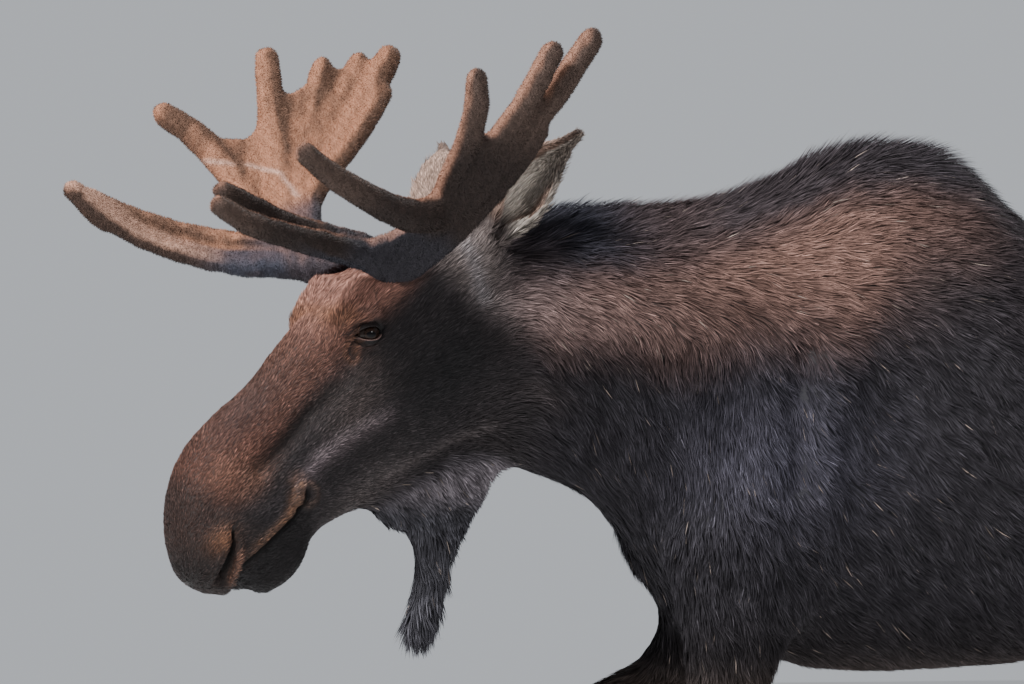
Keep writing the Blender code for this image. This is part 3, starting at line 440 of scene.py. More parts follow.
# The lids: a thick rim laid on the ball, open in an almond, with a brow over it, a fold round
# it and a soft bag under it.
p, q, w, opening = eye_frame(co)
reach = np.hypot(p, q)
near = (reach < 0.055) & (w > -0.03)
lid_radius = EYE_RADIUS + 0.0024 + 0.0016 * bump(opening, 1.12, 0.16)
lid = np.sqrt(np.clip(lid_radius ** 2 - reach ** 2, 0, None))
hold = 1 - ease(0.0210, 0.0225, reach)
brow = 0.006 * bump(q, 0.024, 0.008) * bump(p, 0, 0.026)
fold = -0.0035 * bump(np.hypot(p / 0.027, q / 0.0190), 1, 0.09)
bag = 0.0022 * bump(np.hypot(p / 0.030, q / 0.0230), 1, 0.12) * ease(0.004, -0.004, q)
on_ball = np.maximum(w, lid * hold + w * (1 - hold))
lifted = np.where(hold > 0, on_ball, w) + brow + fold * ease(1.1, 1.4, opening) + bag
lifted += (-0.006 - lifted) * ease(1.04, 0.90, opening)
shift = np.where(near, lifted - w, 0.0)
co += (shift * side)[:, None] * HEAD_AXES[2]
relax(co, edges, 0.35 * near * ease(1.3, 1.6, opening), 2)
mesh.vertices.foreach_set("co", co.ravel())


# The markings are one function of place, so the hide and the hair over it always agree.
def linear(hex_colour):
    """The linear value of a hex sRGB colour."""
    parts = [int(hex_colour[i:i + 2], 16) / 255 for i in (1, 3, 5)]
    return np.array([p / 12.92 if p <= 0.04045 else ((p + 0.055) / 1.055) ** 2.4 for p in parts])


def plain(hex_colour, co):
    """One colour at every point."""
    return np.tile(linear(hex_colour), (len(co), 1))


def lay(colour, hex_colour, share):
    """Lays a colour over the ones already there."""
    colour += (linear(hex_colour) - colour) * np.clip(share, 0, 1)[:, None]


def ripple(co, wavelength, seed):
    """A smooth uneven value between about -1 and 1: seven waves across each other, each about as
    long as the given size in metres."""
    dice = np.random.default_rng(seed)
    total = np.zeros(len(co))
    for _ in range(7):
        way = dice.normal(size=3)
        way *= 2 * math.pi / wavelength / np.linalg.norm(way) * dice.uniform(0.7, 1.5)
        total += np.sin(co @ way + dice.uniform(0, 6.28))
    return total / 2.6


# The back's outline: ahead of the hump, and above the ground.
TOP_LINE = ((0.90, 1.64), (0.81, 1.680), (0.73, 1.740), (0.64, 1.778), (0.54, 1.785),
            (0.44, 1.786), (0.33, 1.797), (0.22, 1.830), (0.11, 1.884), (0.00, 1.903),
            (-0.12, 1.880), (-0.24, 1.765), (-0.38, 1.690), (-0.60, 1.655))


def mark_body(colour, co, on_leg, on_bell):
    """Brown neck and shoulders, lighter on top partly as painted light, a dark mane tinted blue as a
    painted reflection, a dark belly, a painted grey-blue sheen over the arm, grey-brown legs, and a grey
    bell lightened at its top as painted light.
    """
    x, ahead, z = body_frame(co)
    top = np.interp(-ahead, [-p[0] for p in TOP_LINE], [p[1] for p in TOP_LINE])
    down = top - 0.038 - z
    # The brown cape on the upper neck and shoulders is partly the coat's own brown and partly painted
    # light on the top.
    low = 1.50 + 0.15 * ease(0.17, 0.02, ahead)
    low += 0.03 * ripple(np.stack([ahead, ahead, ahead], 1), 0.5, 44)
    cape = ease(low - 0.03, low + 0.11, z) * ease(0.90, 0.76, ahead) * ease(-0.25, 0.05, ahead)
    lay(colour, "#513f3a", 0.92 * cape)
    lay(colour, "#33292a", 0.60 * ease(1.45, 1.62, z) * ease(-0.05, -0.35, ahead))
    # A lighter brown patch on the side below the hump: partly its own brown, partly painted light.
    lay(colour, "#7e6157", 0.68 * bump(ahead, 0.23, 0.20) * bump(z, 1.70, 0.10))
    lay(colour, "#675450", 0.50 * bump(ahead, 0.62, 0.14) * bump(z, 1.60, 0.055))
    # Painted sheen: a grey-blue patch over the arm, a painted reflection of the pale sky on the hair.
    lay(colour, "#47454f", 0.70 * bump(ahead, 0.27, 0.16) * bump(z, 1.36, 0.13))
    # The mane along the crest is dark, tinted blue as a painted reflection of the sky.
    lay(colour, "#1d2129", 0.92 * ease(0.28, 0.62, ahead) * ease(0.12, 0.05, down))
    ridge = ease(-0.30, -0.05, ahead) * ease(0.60, 0.30, ahead) * ease(0.10, 0.02, down)
    lay(colour, "#2d2b2f", 0.90 * ridge)
    lay(colour, "#5c5250", 0.45 * bump(ahead, 0.72, 0.07) * bump(z, 1.455, 0.03))
    lay(colour, "#1c1919", 0.60 * ease(1.12, 1.00, z) * (1 - on_leg))
    lay(colour, "#3b322d", on_leg)
    lay(colour, "#6e6258", on_leg * ease(0.82, 0.50, z))
    lay(colour, "#4a4039", on_leg * ease(0.30, 0.16, z))
    lay(colour, "#363539", on_bell)
    # Painted light: the top of the bell is lighter.
    lay(colour, "#686165", on_bell * ease(1.24, 1.30, z) * 0.75)


def mark_face(colour, co, on_head):
    """A dark face, brown on the forehead and the nose, with lighter marks on cheek and brow, painted
    highlights on the cheek crest and in front of the ears, and painted shade in the hollow and on the
    cheek.
    """
    x, ahead, z = body_frame(co)
    a, n, l = head_frame(co)
    flat = np.stack([a, n], 1)
    aside = ease(0.06, 0.10, np.abs(l))
    lay(colour, "#252122", on_head)
    lay(colour, "#4b4444", 0.5 * near_line(np.stack([ahead, z], 1), JAW_LINE, 0.010))
    # forehead, bridge of the nose, and the hollow and crest of the cheek, with painted shade in the
    # hollow and a painted highlight on the crest
    lay(colour, "#4c342c", on_head * ease(0.00, 0.07, n + 0.10 * (a - 0.3)) * ease(0.02, 0.14, a))
    forehead = ease(0.04, 0.09, n) * ease(0.08, 0.16, a) * ease(0.36, 0.22, a)
    lay(colour, "#7f5b50", on_head * forehead * 0.9)
    lay(colour, "#4a3129", on_head * ease(-0.03, 0.04, n) * ease(0.40, 0.52, a) * 0.9)
    lay(colour, "#3a2c29", on_head * bump(n, 0.09, 0.03) * bump(a, 0.47, 0.09) * 0.6)
    # Painted shade: near-black along the sunken hollow on the side of the face.
    lay(colour, "#171414", on_head * near_line(flat, HOLLOW_LINE, 0.018) * 0.85)
    # Painted highlight: a pale grey band along the raised cheek crest.
    gap, share = distance_to_line(flat, CREST_LINE)
    lay(colour, "#5d5255", on_head * bump(gap, 0, 0.016) * ease(0.0, 0.35, share) * 0.55)
    # soft patches of the cheek and the side of the nose
    lay(colour, "#4a403d", on_head * bump(a, 0.33, 0.07) * bump(n, -0.03, 0.04) * 0.55)
    lay(colour, "#4a4342", on_head * bump(a, 0.41, 0.09) * bump(n, -0.17, 0.04) * 0.6)
    lay(colour, "#5e4439", on_head * spot(a, n, (0.560, 0.004), 0.026, 1.7) * 0.75)
    lay(colour, "#6a5a58", bump(a, -0.03, 0.07) * bump(n, -0.11, 0.06) * 0.6)
    lay(colour, "#3f3532", on_head * bump(a, 0.275, 0.03) * bump(n, 0.005, 0.02) * 0.7)
    # the nape between the antlers, the pale hair in front of the ears, and a painted highlight in a
    # streak down in front of the ear roots
    lay(colour, "#3f322d", on_head * ease(0.09, 0.02, a) * ease(0.08, 0.04, np.abs(l)))
    lay(colour, "#675d5a", on_head * ease(0.09, 0.02, a) * bump(n, 0.02, 0.08) * aside * 0.8)
    # Painted highlight: a light grey streak running down in front of the ear root.
    painted_highlight_by_ear = near_line(flat, ((0.012, 0.035), (0.022, 0.0), (0.040, -0.054)), 0.014)
    lay(colour, "#6c6769", painted_highlight_by_ear * aside * 0.6)
    # the dark cheek, partly its own black and partly painted shade, the muzzle, the chin, and the warm
    # patch over the nostril
    lay(colour, "#131213", on_head * bump(n, -0.10, 0.075) * bump(a, 0.17, 0.12) * 0.9)
    lay(colour, "#2a2220", on_head * ease(0.60, 0.66, a + 0.2 * (0.05 - n)) * 0.80)
    chin = (1 - above_lips(a, n)) * ease(0.50, 0.54, a) * ease(-0.09, -0.11, n)
    lay(colour, "#171415", on_head * chin)
    lay(colour, "#64463a", on_head * spot(a, n, (0.585, 0.045), 0.026, 1.5) * 0.7)


def mark_eye(colour, co, on_head):
    """A brown brow with a thin painted highlight line over it, black lids with a pink lower edge, and a
    black tear trough.
    """
    a, n, l = head_frame(co)
    flat = np.stack([a, n], 1)
    p, q, w, opening = eye_frame(co)
    lay(colour, "#634331", on_head * spot(a, n, (0.252, 0.098), 0.024) * 0.75)
    lay(colour, "#1b1819", on_head * bump(a, 0.215, 0.04) * bump(n, 0.025, 0.04) * 0.7)
    # Painted highlight: a thin light line over the brow above the lid.
    lay(colour, "#7a5d55", on_head * near_line(flat, ((0.226, 0.090), (0.206, 0.064)), 0.005) * 0.5)
    lay(colour, "#141113", on_head * ease(2.3, 1.4, opening) * 0.9)
    lid_edge = ease(1.22, 1.12, opening) * ease(0.98, 1.04, opening) * ease(-0.003, -0.006, q)
    lay(colour, "#a08078", on_head * lid_edge)
    gap = distance_to_line(flat, TEAR_LINE)[0]
    lay(colour, "#6b4c3d", on_head * bump(gap, 0.008, 0.004) * 0.5)
    lay(colour, "#131011", on_head * bump(gap, 0, 0.004) * 0.9)


def mark_muzzle(colour, co, on_head):
    """Black nostrils and lip line, a warm brown patch over the nostril that is partly painted light, and
    brown hair behind the nostril and along the upper lip.
    """
    a, n, l = head_frame(co)
    flat = np.stack([a, n], 1)
    gap, share = distance_to_line(flat, NOSTRIL_LINE)
    on_side = ease(0.03, 0.05, np.abs(l)) * on_head
    rear = ease(0.004, -0.004, (a - 0.658) * 0.53 + (n + 0.050) * 0.85)
    # A warm brown patch on the swell over the nostril: partly its own brown, partly painted light.
    lay(colour, "#6b4a38", on_side * spot(a, n, (0.671, -0.030), 0.019, 1.3) * 0.85)
    lay(colour, "#6b4d40", on_side * rear * bump(gap, 0.015, 0.007) * ease(0.2, 0.5, share) * 0.75)
    lay(colour, "#0b0909", on_side * bump(gap, 0, 0.004 + 0.008 * share))
    gap = distance_to_line(flat, LIP_LINE)[0]
    rim = ease(0.47, 0.50, a) * on_head
    band = 0.009 + 0.008 * ease(0.57, 0.51, a)
    lip_hair = above_lips(a, n) * ease(0.67, 0.62, a) * bump(gap, band + 0.001, band)
    lay(colour, "#634838", rim * lip_hair * (0.60 + 0.25 * ripple(co, 0.018, 46)))
    corner = np.hypot(a - MOUTH_CORNER[0], n - MOUTH_CORNER[1])
    lay(colour, "#4c3c34", on_head * bump(corner, 0.018, 0.007) * ease(0.55, 0.51, a) * 0.45)
    lay(colour, "#0d0a0a", rim * bump(gap, 0, 0.0042))


def coat_colour(co):
    """The markings with their painted light and shade: linear colour of the coat, and of the hide under
    it, from place alone.
    """
    on_head = head_share(co)
    colour = plain("#29272a", co)
    mark_body(colour, co, leg_share(co), bell_share(co))
    mark_face(colour, co, on_head)
    mark_eye(colour, co, on_head)
    mark_muzzle(colour, co, on_head)
    return colour


def surface(name, roughness, gloss):
    """A new material with its shader's roughness and gloss set, its node tree and the shader."""
    material = bpy.data.materials.new(name)
    material.use_nodes = True
    shader = material.node_tree.nodes["Principled BSDF"]
    shader.inputs["Roughness"].default_value = roughness
    shader.inputs["Specular IOR Level"].default_value = gloss
    return material, material.node_tree, shader


def add_node(tree, kind, inputs=None, **settings):
    """Adds a shader node, sets its properties, and fills or links its inputs by name or number."""
    node = tree.nodes.new(kind)
    for key, value in settings.items():
        setattr(node, key, value)
    for key, value in (inputs or {}).items():
        if isinstance(value, bpy.types.NodeSocket):
            tree.links.new(value, node.inputs[key])
        else:
            node.inputs[key].default_value = value
    return node


# Hide: dull skin with short under-hair, which breaks the markings into fine streaks. Real
# under-hair is too fine to show, so it is drawn in clumps 2.4 mm wide.
hide, tree, shader = surface("hide", 0.62, 0.25)
UNDER_HAIR_PER_METRE = 420.0
marking = add_node(tree, "ShaderNodeAttribute", attribute_name="coat")
place = add_node(tree, "ShaderNodeTexCoord")
streaks = add_node(tree, "ShaderNodeTexNoise",
                   {"Vector": place.outputs["Object"], "Scale": UNDER_HAIR_PER_METRE, "Detail": 3.0})
shade = add_node(tree, "ShaderNodeMapRange",
                 {"Value": streaks.outputs["Fac"], "To Min": 0.45, "To Max": 1.10})
scaled = add_node(tree, "ShaderNodeVectorMath",
                  {0: marking.outputs["Color"], 1: shade.outputs["Result"]}, operation="MULTIPLY")
tree.links.new(scaled.outputs[0], shader.inputs["Base Color"])
relief = add_node(tree, "ShaderNodeBump",
                  {"Height": streaks.outputs["Fac"], "Strength": 0.6, "Distance": 0.002})
tree.links.new(relief.outputs[0], shader.inputs["Normal"])


def marked(made, colour, material):
    """Gives a mesh its own markings and surface."""
    marks = made.data.attributes.new("coat", "FLOAT_COLOR", "POINT")
    marks.data.foreach_set("color", np.hstack([colour, np.ones((len(colour), 1))]).ravel())
    made.data.materials.clear()
    made.data.materials.append(material)
    made.data.shade_smooth()


def unwrapped(made):
    """Unwraps a mesh by facing, so that each patch of it keeps its own shape."""
    bpy.ops.object.select_all(action="DESELECT")
    made.select_set(True)
    bpy.context.view_layer.objects.active = made
    bpy.ops.object.mode_set(mode="EDIT")
    bpy.ops.mesh.select_all(action="SELECT")
    bpy.ops.uv.smart_project(angle_limit=math.radians(66), island_margin=0.001)
    bpy.ops.object.mode_set(mode="OBJECT")
    made.data.uv_layers.active.name = "OFBake"


# The hide is painted darker than the hair over it, as painted shade under the coat.
HIDE_PAINTED_SHADE = 0.60
marked(skin, coat_colour(co) * HIDE_PAINTED_SHADE, hide)
unwrapped(skin)

# ---------------------------------------------------------------- coat
# Guard hair of the whole animal: thin tapered tufts rooted in the skin and lying back along
# it, long on the mane, hump and bell, short on the legs and shortest on the face. Each piece
# is one joined mesh in the skin's own markings.


def unit(v):
    """The same directions, each of length 1."""
    return v / np.maximum(np.linalg.norm(v, axis=1), 1e-9)[:, None]


def lie_of_coat(co, normal):
    """The direction in which the hair runs along the skin, from the nose back and down."""
    x, ahead, z = body_frame(co)
    a, n, l = head_frame(co)
    on_head, on_leg, on_bell = head_share(co), leg_share(co), bell_share(co)
    hanging = np.array((0.0, 0.10, -1.0))
    # neck and trunk: back, and down by this many degrees, steep on the flank, nearly level on
    # the back and rising up the front of the hump
    fall = 45 + 7 * ease(0.45, 0.55, ahead) + 37 * bump(ahead, 0.38, 0.14) * ease(1.68, 1.50, z)
    fall += (12 - fall) * ease(1.50, 1.69, z)
    fall += (-30 - fall) * ease(1.68, 1.74, z) * ease(0.04, 0.20, ahead)
    fall = np.radians(fall)
    way = np.zeros_like(co)
    way[:, 1] = np.cos(fall)
    way[:, 2] = -np.sin(fall)
    # legs, where the lifted one has its own way, then tail, bell, face and the roots of the ears
    lifted = (x < 0) & (ahead > 0.30)
    along_leg = np.where((lifted & (z > 0.745))[:, None], (0.0, -0.914, -0.407), (0.0, 0.15, -1.0))
    way += (along_leg - way) * on_leg[:, None]
    on_tail = ease(-1.14, -1.17, ahead) * ease(0.08, 0.06, np.abs(x))
    way += (hanging - way) * (on_tail * (1 - on_leg))[:, None]
    drape = ease(1.28, 1.18, z)[:, None]
    along_bell = np.array((0.0, 0.66, -0.75)) * (1 - drape) + hanging * drape
    way += (along_bell - way) * on_bell[:, None]
    upward = 0.35 * ease(0.62, 0.74, a) - 0.35 * ease(0.0, -0.12, n)
    way += (-HEAD_AXES[0] + HEAD_AXES[1] * upward[:, None] - way) * on_head[:, None]
    for word in ("left", "right"):
        start, run = ear_axis(word)
        gap = np.linalg.norm(co - start, axis=1)
        way += (run - way) * ease(0.075, 0.045, gap)[:, None]
    way = unit(way - normal * np.sum(way * normal, 1)[:, None])
    aside = np.cross(normal, way)
    calm = 1 - 0.65 * on_head
    turn = calm * (math.radians(9) * ripple(co, 0.12, 11) + math.radians(7) * ripple(co, 0.030, 12))
    return way * np.cos(turn)[:, None] + aside * np.sin(turn)[:, None]


Roots = namedtuple("Roots", "co normal unwrap")


def rooted(mesh, density, seed):
    """Roots of tufts spread evenly over a mesh, with their normals and unwrap places."""
    dice = np.random.default_rng(seed)
    mesh.calc_loop_triangles()
    count = len(mesh.loop_triangles)
    corners = np.empty(count * 3, int)
    mesh.loop_triangles.foreach_get("vertices", corners)
    corners = corners.reshape(-1, 3)
    loops = np.empty(count * 3, int)
    mesh.loop_triangles.foreach_get("loops", loops)
    unwrap = np.empty(len(mesh.loops) * 2)
    mesh.uv_layers["OFBake"].data.foreach_get("uv", unwrap)
    unwrap = unwrap.reshape(-1, 2)[loops.reshape(-1, 3)]
    co = mesh_arrays(mesh)[0][corners]
    normal = vertex_normals(mesh)[corners]
    area = np.linalg.norm(np.cross(co[:, 1] - co[:, 0], co[:, 2] - co[:, 0]), axis=1) / 2
    wanted = np.cumsum(area * density(co.mean(axis=1), unit(normal.mean(axis=1))))
    total = int(wanted[-1])
    pick = np.searchsorted(wanted, (np.arange(total) + dice.uniform(0, 1, total)) * wanted[-1] / total)
    pick = np.minimum(pick, count - 1)
    share = dice.uniform(0, 1, (total, 2))
    over = share.sum(axis=1) > 1
    share[over] = 1 - share[over]
    weight = np.stack([1 - share.sum(axis=1), share[:, 0], share[:, 1]], 1)[:, :, None]
    return Roots((co[pick] * weight).sum(axis=1), unit((normal[pick] * weight).sum(axis=1)),
                 (unwrap[pick] * weight).sum(axis=1))


# Each tuft lies on a small patch of its root's unwrap, this wide and long in the unwrap's units.
PATCH_WIDTH, PATCH_LENGTH = 0.0024, 0.0026


def joined(name, co, tones, patch, faces, material):
    """One mesh of many strips that all have the same faces, riding with the animal."""
    count, size = co.shape[:2]
    corners = (np.arange(count)[:, None, None] * size + np.array(faces)[None]).ravel()
    mesh = bpy.data.meshes.new(name)
    mesh.vertices.add(count * size)
    mesh.vertices.foreach_set("co", co.ravel())
    mesh.loops.add(len(corners))
    mesh.loops.foreach_set("vertex_index", corners)
    mesh.polygons.add(len(corners) // 3)
    mesh.polygons.foreach_set("loop_start", np.arange(0, len(corners), 3))
    mesh.update(calc_edges=True)
    layer = mesh.uv_layers.new(name="OFBake")
    layer.data.foreach_set("uv", patch.reshape(-1, 2)[corners].ravel())
    made = bpy.data.objects.new(name, mesh)
    marked(made, np.clip(tones.reshape(-1, 3), 0, 1), material)
    bpy.context.scene.collection.objects.link(made)
    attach(made, "root")
    return made


def tufts(name, roots, way, length, width, lift, colour, profile, material, seed, spread=0.36):
    """Tapered strips. profile holds (share of length, share of width, tint) from root to tip; the tint
    darkens the root as painted shade and lightens the tip as painted light.
    """
    dice = np.random.default_rng(seed)
    count = len(roots.co)
    turn = dice.normal(0, math.radians(5), count)
    aside = np.cross(roots.normal, way)
    way = way * np.cos(turn)[:, None] + aside * np.sin(turn)[:, None]
    aside = np.cross(roots.normal, way)
    roll = dice.uniform(-0.6, 0.6, count)
    across = aside * np.cos(roll)[:, None] + roots.normal * np.sin(roll)[:, None]
    length = length * dice.uniform(0.78, 1.12, count)
    width = width * dice.uniform(0.70, 1.25, count)
    lift = lift * dice.uniform(0.75, 1.20, count)
    sway = 0.10 * ripple(roots.co, 0.05, 21) + dice.normal(0, 0.04, count)
    tint = np.exp(dice.normal(-0.06, spread, count))
    rows, tones, patch = [], [], []
    for s, w, tone in profile:
        spine = roots.co - roots.normal * np.minimum(0.001, 0.05 * length)[:, None]
        spine = spine + way * (length * np.cos(lift) * s)[:, None]
        spine = spine + roots.normal * (length * np.sin(lift) * (1.35 * s - 0.35 * s * s))[:, None]
        spine = spine + aside * (length * sway * s * s)[:, None]
        half = across * (width * w / 2)[:, None]
        for sign in ((-1, 1) if w > 0 else (0,)):
            rows.append(spine + half * sign)
            tones.append(colour * (tint * tone)[:, None])
            on_patch = (sign * PATCH_WIDTH / 2 * w, PATCH_LENGTH * s - PATCH_LENGTH / 2)
            patch.append(roots.unwrap + np.array(on_patch))
    size = len(rows)
    faces = []
    for k in range(0, size - 3, 2):
        faces += [(k, k + 1, k + 3), (k, k + 3, k + 2)]
    faces.append((size - 3, size - 2, size - 1))
    return joined(name, np.stack(rows, 1), np.stack(tones, 1), np.stack(patch, 1), faces, material)


# The third number darkens each tuft at its root as painted shade and lightens its tip as painted light.
LONG_TUFT = ((0.0, 0.8, 0.50), (0.38, 1.0, 0.85), (0.72, 0.75, 1.05), (1.0, 0.0, 1.40))
SHORT_TUFT = ((0.0, 0.9, 0.55), (0.55, 1.0, 0.95), (1.0, 0.0, 1.45))

# Hair: strands in the colours of the markings, with only the faint soft gloss of a summer coat.
hair, tree, shader = surface("hair", 0.72, 0.04)
marking = add_node(tree, "ShaderNodeAttribute", attribute_name="coat")
tree.links.new(marking.outputs["Color"], shader.inputs["Base Color"])

# Face hair: the same strands, shorter and sleeker, so a little glossier.
face_hair = hair.copy()
face_hair.name = "face_hair"
shader = face_hair.node_tree.nodes["Principled BSDF"]
shader.inputs["Roughness"].default_value = 0.60
shader.inputs["Specular IOR Level"].default_value = 0.12


def hair_density(co, normal):
    """Tufts per square metre: none on the eyes, the nostrils, the lips and under the antlers."""
    x, ahead, z = body_frame(co)
    a, n, l = head_frame(co)
    on_head, on_leg, on_bell = head_share(co), leg_share(co), bell_share(co)
    number = 40000 + 40000 * ease(-0.45, 0.05, ahead)
    number += (60000 - number) * on_leg
    number += (110000 - number) * on_bell
    number += (150000 - number) * on_head
    flat = np.stack([a, n], 1)
    eye = np.hypot((a - EYE_A) / 0.030, (n - EYE_N) / 0.020) < 1.0
    gap, share = distance_to_line(flat, NOSTRIL_LINE)
    nostril = (gap < 0.003 + 0.008 * share) & (np.abs(l) > 0.035)
    lip = (distance_to_line(flat, LIP_LINE)[0] < 0.0045) & (a > 0.48)
    bare = on_head * (eye | nostril | lip)
    under_antler = np.hypot(a - 0.124, n - 0.080) + np.abs(np.abs(l) - 0.092) < 0.037
    return number * (1 - bare) * (1 - under_antler)


def hair_width(co):
    """Width of a tuft in metres. Real hairs are far finer; each tuft stands for a small lock."""
    on_head, on_leg, on_bell = head_share(co), leg_share(co), bell_share(co)
    width = np.full(len(co), 0.0016)
    width += (0.0017 - width) * on_leg
    width += (0.0013 - width) * on_head
    width += (0.0021 - width) * on_bell
    return width


# The coat is parted into regions, each with a left and a right half. On the edge of the head
# the tufts of both regions mingle, and the body's middle bends left with the neck.
REGIONS = (("head", "coat_face", SHORT_TUFT, face_hair), ("bell", "coat_dark", LONG_TUFT, hair),
           ("legs", "coat_leg", SHORT_TUFT, hair), ("neck", "coat_dark", LONG_TUFT, hair),
           ("shoulders", "coat_dark", SHORT_TUFT, hair), ("barrel", "coat_dark", SHORT_TUFT, hair),
           ("rump", "coat_dark", SHORT_TUFT, hair))
PALE_HAIRS = 0.005
every = rooted(skin.data, hair_density, 31)
x, ahead, z = body_frame(every.co)
on_head, on_leg, on_bell = head_share(every.co), leg_share(every.co), bell_share(every.co)
mingle = np.random.default_rng(32).uniform(0.2, 0.8, len(on_head))
region = np.select([on_head > mingle, on_bell > 0.5, on_leg > 0.5, ahead > 0.42, ahead > 0.02,
                    ahead > -0.50], list(range(6)), 6)
middle = np.where(on_head > 0.5, head_frame(every.co)[2], x - 0.05 * ease(0.3, 0.8, ahead) - 0.004)
for number, (word, slot, profile, material) in enumerate(REGIONS):
    for half in ("left", "right"):
        chosen = (region == number) & ((middle >= 0) == (half == "left"))
        roots = Roots(*(values[chosen] for values in every))
        co, normal = roots.co, roots.normal
        colour = coat_colour(co)
        streak = np.clip(0.5 + 0.5 * ripple(co, 0.035, 41), 0, 1) * (1 - 0.6 * head_share(co))
        colour *= (1.20 - 0.45 * streak)[:, None]
        dice = np.random.default_rng(50 + number)
        pale_share = PALE_HAIRS * ease(-0.3, 0.1, ahead[chosen]) * (1 - on_head[chosen])
        pale = dice.uniform(0, 1, len(colour)) < pale_share
        colour[pale] = linear("#6f645d") * dice.uniform(0.7, 1.3, (pale.sum(), 1))
        made = tufts("coat_" + word + "_" + half, roots, lie_of_coat(co, normal),
                     coat_length(co, normal), hair_width(co), coat_lift(co, normal), colour,
                     profile, material, 60 + number)

# ---------------------------------------------------------------- ears
# Two long cupped ears of gristle under short hair: brown behind, pale woolly grey inside. They
# are rooted behind the antlers, and their bases sink into the coat of the nape.


def ear_colour(co, normal, ear_axes):
    """Brown behind and along the front edge, a pale rim, and grey-beige wool darkening to the tip."""
    root, run, reach, cup, forward = ear_axes
    share = (co - root) @ run / reach
    aside = (co - root) @ forward
    inside = ease(-0.1, 0.5, normal @ cup) * ease(0.006, -0.006, aside)
    outer = plain("#8b7468", co)
    lay(outer, "#5a4b44", ease(0.70, 1.0, share))
    inner = plain("#b9afa4", co)
    lay(inner, "#6d635c", ease(0.30, 0.85, share))
    lay(inner, "#4a4441", 0.7 * ease(-0.018, -0.036, aside))
    colour = outer + (inner - outer) * inside[:, None]
    rim = bump(aside, -0.001, 0.004) * ease(0.0, 0.4, normal @ cup) * ease(0.95, 0.8, share)
    lay(colour, "#c2b8ad", 0.6 * rim)
    return colour + (coat_colour(co) - colour) * ease(0.22, 0.04, share)[:, None]


EAR_GRAIN = 0.0032
EAR_TUFTS = 170000.0
EAR_TUFT_WIDTH = 0.0013
EAR_HAIR_ROOM = 0.0015
# The ear's hide is painted darker than its hair, as painted shade under the fuzz.
EAR_HIDE_PAINTED_SHADE = 0.70
for word, side in (("left", 1), ("right", -1)):
    ear = fused(["ear_" + word], "ear_hide_" + word, EAR_GRAIN)
    co, edges = mesh_arrays(ear.data)
    relax(co, edges, 0.5, 3)
    ear.data.vertices.foreach_set("co", co.ravel())
    co -= vertex_normals(ear.data) * EAR_HAIR_ROOM
    root, run = ear_axis(word)
    reach = np.max((co - root) @ run)
    cup = np.array((-0.12, -0.08, 0.93) if side > 0 else (0.20, 0.0, -0.98)) @ HEAD_AXES
    cup -= run * (cup @ run)
    cup /= np.linalg.norm(cup)
    forward = np.cross(cup, run)
    forward *= np.sign(forward @ HEAD_AXES[0])
    ear_axes = (root, run, reach, cup, forward)
    co -= run * (0.014 * ease(0.08, 0.0, (co - root) @ run / reach))[:, None]
    ear.data.vertices.foreach_set("co", co.ravel())
    marked(ear, ear_colour(co, vertex_normals(ear.data), ear_axes) * EAR_HIDE_PAINTED_SHADE, hide)
    unwrapped(ear)

    roots = rooted(ear.data, lambda co, normal: np.full(len(co), EAR_TUFTS), 71)
    inside = ease(0.0, 0.5, roots.normal @ cup)
    way = unit(np.tile(run, (len(roots.co), 1)) - roots.normal * (roots.normal @ run)[:, None])
    length = 0.010 + 0.012 * inside * ease(1.0, 0.3, (roots.co - root) @ run / reach)
    fuzz = tufts("coat_ear_" + word, roots, way, length, np.full(len(length), EAR_TUFT_WIDTH),
                 np.radians(14 + 12 * inside), ear_colour(roots.co, roots.normal, ear_axes),
                 SHORT_TUFT, hair, 72)

# ---------------------------------------------------------------- antlers
# Growing bone still in velvet, thick and round-edged: two brow tines, a short beam and a broad
# palm on each side. The velvet is a skin of dense short nap, brown, with painted light where it faces
# front and up, and painted shade on the undersides and over the whole left antler.

# Velvet: a dull soft nap that catches the light unevenly. Its grain is drawn 2.6 mm wide,
# because that of real nap is too fine to show.
velvet, tree, shader = surface("velvet", 0.80, 0.20)
NAP_GRAINS_PER_METRE = 380.0
marking = add_node(tree, "ShaderNodeAttribute", attribute_name="coat")
place = add_node(tree, "ShaderNodeTexCoord")
grain = add_node(tree, "ShaderNodeTexNoise",
                 {"Vector": place.outputs["Object"], "Scale": NAP_GRAINS_PER_METRE, "Detail": 4.0})
shade = add_node(tree, "ShaderNodeMapRange",
                 {"Value": grain.outputs["Fac"], "To Min": 0.75, "To Max": 1.20})
scaled = add_node(tree, "ShaderNodeVectorMath",
                  {0: marking.outputs["Color"], 1: shade.outputs["Result"]}, operation="MULTIPLY")
tree.links.new(scaled.outputs[0], shader.inputs["Base Color"])
relief = add_node(tree, "ShaderNodeBump",
                  {"Height": grain.outputs["Fac"], "Strength": 0.7, "Distance": 0.002})
tree.links.new(relief.outputs[0], shader.inputs["Normal"])

# Places (a, n, l) on the left antler, with l turned about for the right one. The pale vein (a, n)
# crosses the right palm, and the brow line runs from the burr along the long brow tine.
PALM_VEIN = ((0.090, 0.326), (0.041, 0.268), (0.030, 0.239), (0.057, 0.213))
BURR = (0.135, 0.118, 0.112)
BROW_LINE = (BURR, (0.170, 0.150, 0.130), (0.255, 0.231, 0.185), (0.318, 0.346, 0.246),
             (0.340, 0.484, 0.292))


